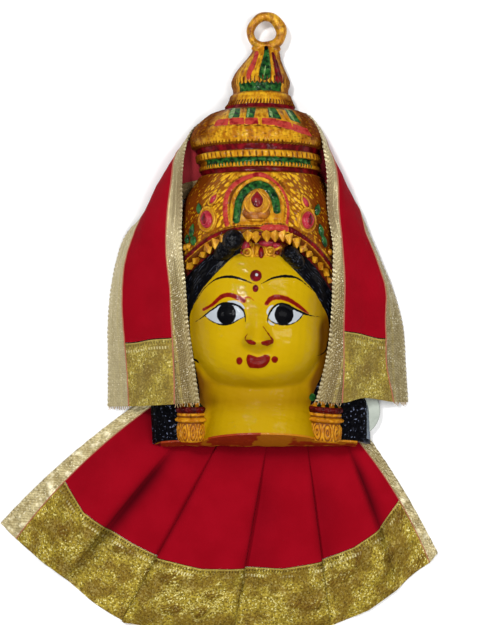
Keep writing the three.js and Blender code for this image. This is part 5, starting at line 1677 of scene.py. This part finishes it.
def skirt_sheet(stations, part, per=7):
    """Points of a part of the skirt, (downs, across, 3): a strip folded over itself at each pleat."""
    line = smooth_line(stations, per)
    at = np.clip(line[:, 0], 0, 12)
    lines = np.array([[*waist, *hem, start] for waist, hem, start in SKIRT_LINES])
    waist_x, waist_y, hem_x, hem_y, start = (table(list(enumerate(lines[:, k])), at) for k in range(5))
    first, last = {"cloth": (0, start - HEM_GAP), "hem": (start, 1), "whole": (0, 1)}[part]
    d = first + np.linspace(0, 1, SKIRT_PARTS[part])[:, None] * (last - first)
    x = waist_x + (hem_x - waist_x) * d
    y = waist_y + (hem_y - waist_y) * d
    puff = 4 * np.clip(d, 0, 1) * np.clip(1 - d, 0, 1) * smooth(0.1, 0.35, d)
    z = line[:, 1] + (line[:, 2] - line[:, 1]) * d + line[:, 3] * puff
    z = z + 0.45 * waver(x, y, 40, 11) * smooth(0.2, 0.5, d)
    y = y + d**2 * (1.2 * bump(at - 10.5, 0.35) - 2.6 * bump(at - 3.5, 0.4))
    bow = table(SKIRT_BOWS, at) * 4 * d * (1 - d) * np.where(at < 6, 1.0, -1.0)
    across = np.stack([hem_y - waist_y, waist_x - hem_x])
    across = across / np.linalg.norm(across, axis=0)
    x = x + across[0] * bow
    y = y + across[1] * bow
    z = z + 0.55 * waver(x, y, 19, 4) * smooth(start - 0.05, start + 0.1, d)
    return np.stack([x, y, np.maximum(z, SKIRT_LOWEST)], -1)


def fold_shade(sheet, waist=0.0):
    """How deep a place lies beside a higher pleat edge, between 0 and 1: painted shade for the cloth's
    colour, with waist added as painted shadow; sheet is (downs, across, 3).
    """
    steepest = np.zeros(sheet.shape[:2])
    for step in range(1, 15):
        for sign in (-1, 1):
            beside = np.roll(sheet, sign * step, 1)
            rise = beside[..., 2] - sheet[..., 2]
            apart = np.hypot(beside[..., 0] - sheet[..., 0], beside[..., 1] - sheet[..., 1])
            slope = rise / (apart + 1.0)
            slope[:, :step] = 0
            slope[:, -step:] = 0
            steepest = np.maximum(steepest, slope)
    return np.clip(0.95 * smooth(0.05, 1.0, steepest) + waist, 0, 0.95)


def make_skirt(cloth, lace, brocade, thread):
    sheet = skirt_sheet(SKIRT_STATIONS, "cloth")
    # Painted shadow under the mask at the waist.
    under_mask = 0.62 * smooth(0.3, 0.02, np.linspace(0, 0.67, len(sheet)))[:, None]
    marks = {"fold_shadow": fold_shade(sheet, under_mask)}
    skirt = make_sheet("skirt_cloth_red", sheet, cloth, SKIRT_THICKNESS, "skirt_cloth", marks)
    sheet = skirt_sheet(SKIRT_STATIONS, "hem")
    run, down = lengths_on(sheet)
    marks = {"from_top": down, "run": run, "fold_shadow": 0.7 * fold_shade(sheet)}
    others = [make_sheet("skirt_brocade_hem", sheet, brocade, SKIRT_THICKNESS,
                         "skirt_hem_border", marks)]
    for side, places in (("left", (0, 0.5, 0.985)), ("right", (11.015, 11.5, 12))):
        stations = [(place, *heights) for place, heights in zip(places, SKIRT_LACE_HEIGHTS)]
        sheet = skirt_sheet(stations, "whole", 9).swapaxes(0, 1)
        along, across = lengths_on(sheet)
        right = side == "right"
        from_edge = across[-1:] - across if right else across
        lift = 0.3 * bump(from_edge - 1, 0.9) + 0.35 * waver(along, across * 2, 11, 2)
        lift = lift + 0.12 * waver(along, across, 4, 5)
        sheet[..., 2] += np.maximum(lift, -0.1)
        marks = {
            "across": from_edge,
            "braided": 0.6 * right * smooth(60, 20, along),
            "painted_light": np.full(along.shape, 0.5),
        }
        name, node = f"skirt_lace_{side}", f"skirt_{side}_lace"
        others.append(make_sheet(name, sheet, lace, LACE_THICKNESS, node, marks))
        seam = sheet[0 if right else -1] + np.array([0, 0, 0.45])
        others.append(make_cord(name + "_piping", seam, 0.3, thread))
    return skirt, others


# Camera, table and light.
def set_stage():
    deselect()
    bpy.ops.mesh.primitive_plane_add(size=4, location=(0, 0, -0.0004))
    floor = name_piece(bpy.context.object, "table")
    f = Finish("pale_table", Roughness=0.9, Specular_IOR_Level=0.1)
    paper = f.place().noise(0.3).mix((0.96, 0.96, 0.96, 1), (0.95, 0.95, 0.955, 1))
    floor.data.materials.append(f.colour(paper))
    world = bpy.data.worlds.new("studio")
    bpy.context.scene.world = world
    world.use_nodes = True
    background = world.node_tree.nodes["Background"]
    background.inputs["Color"].default_value = (1.0, 1.0, 1.0, 1)
    background.inputs["Strength"].default_value = 0.18
    for name, place, size, power in LAMPS:
        bpy.ops.object.light_add(type="AREA", location=place)
        lamp = bpy.context.object
        lamp.name = name
        lamp.data.shape = "DISK"
        lamp.data.size = size
        lamp.data.energy = power
        lamp.rotation_euler = (Vector(LAMPS_AIM) - Vector(place)).to_track_quat("-Z", "Y").to_euler()


def set_camera():
    data = bpy.data.cameras.new("view")
    camera = bpy.data.objects.new("view", data)
    bpy.context.scene.collection.objects.link(camera)
    camera.location = np.array([*CAMERA_OVER, CAMERA_HEIGHT - RIM_LIFT]) * MM + ORIGIN
    data.sensor_width = SENSOR
    data.lens = SENSOR * CAMERA_HEIGHT / PICTURE_HEIGHT
    bpy.context.scene.camera = camera
    bpy.context.scene.view_settings.view_transform = "Standard"


# The pieces.
set_camera()
set_stage()
enamel = enamel_finish()
gold = gold_finish("gold_enamel", 0.6)
bright_gold = gold_finish("bright_gold_enamel", 0.15)
pink = glossy_finish("pink_enamel", rgb(176, 50, 62), rgb(146, 22, 42))
red = glossy_finish("red_enamel", RED, RED_DEEP)
green = glossy_finish("green_enamel", GREEN, GREEN_DEEP)
# The bowl under the jewel, in brown-orange enamel that also holds painted shade.
bowl = glossy_finish("bowl_enamel", rgb(166, 100, 24), rgb(112, 54, 8))
make_casting(enamel)
make_ring(gold)
make_brow_teeth(bright_gold)
make_jewels({"jewel_settings": bright_gold, "pink_stones": pink, "red_stones": red, "crown_leaves": green,
             "jewel_bowl": bowl})
make_earrings(earring_finish())
make_hair_ends(hair_finish())
make_base_lip(lip_finish())
make_bare_edge(bare_finish())
cloth, lace, brocade = cloth_finish(), lace_finish(), brocade_finish()
thread = thread_finish("stitching_thread", rgb(176, 104, 70), rgb(140, 74, 50))
frayed = thread_finish("frayed_thread", rgb(188, 164, 116), rgb(146, 112, 70))
veil, veil_parts = make_veil(cloth, lace, brocade, thread, frayed)
skirt, skirt_parts = make_skirt(cloth, lace, brocade, thread)
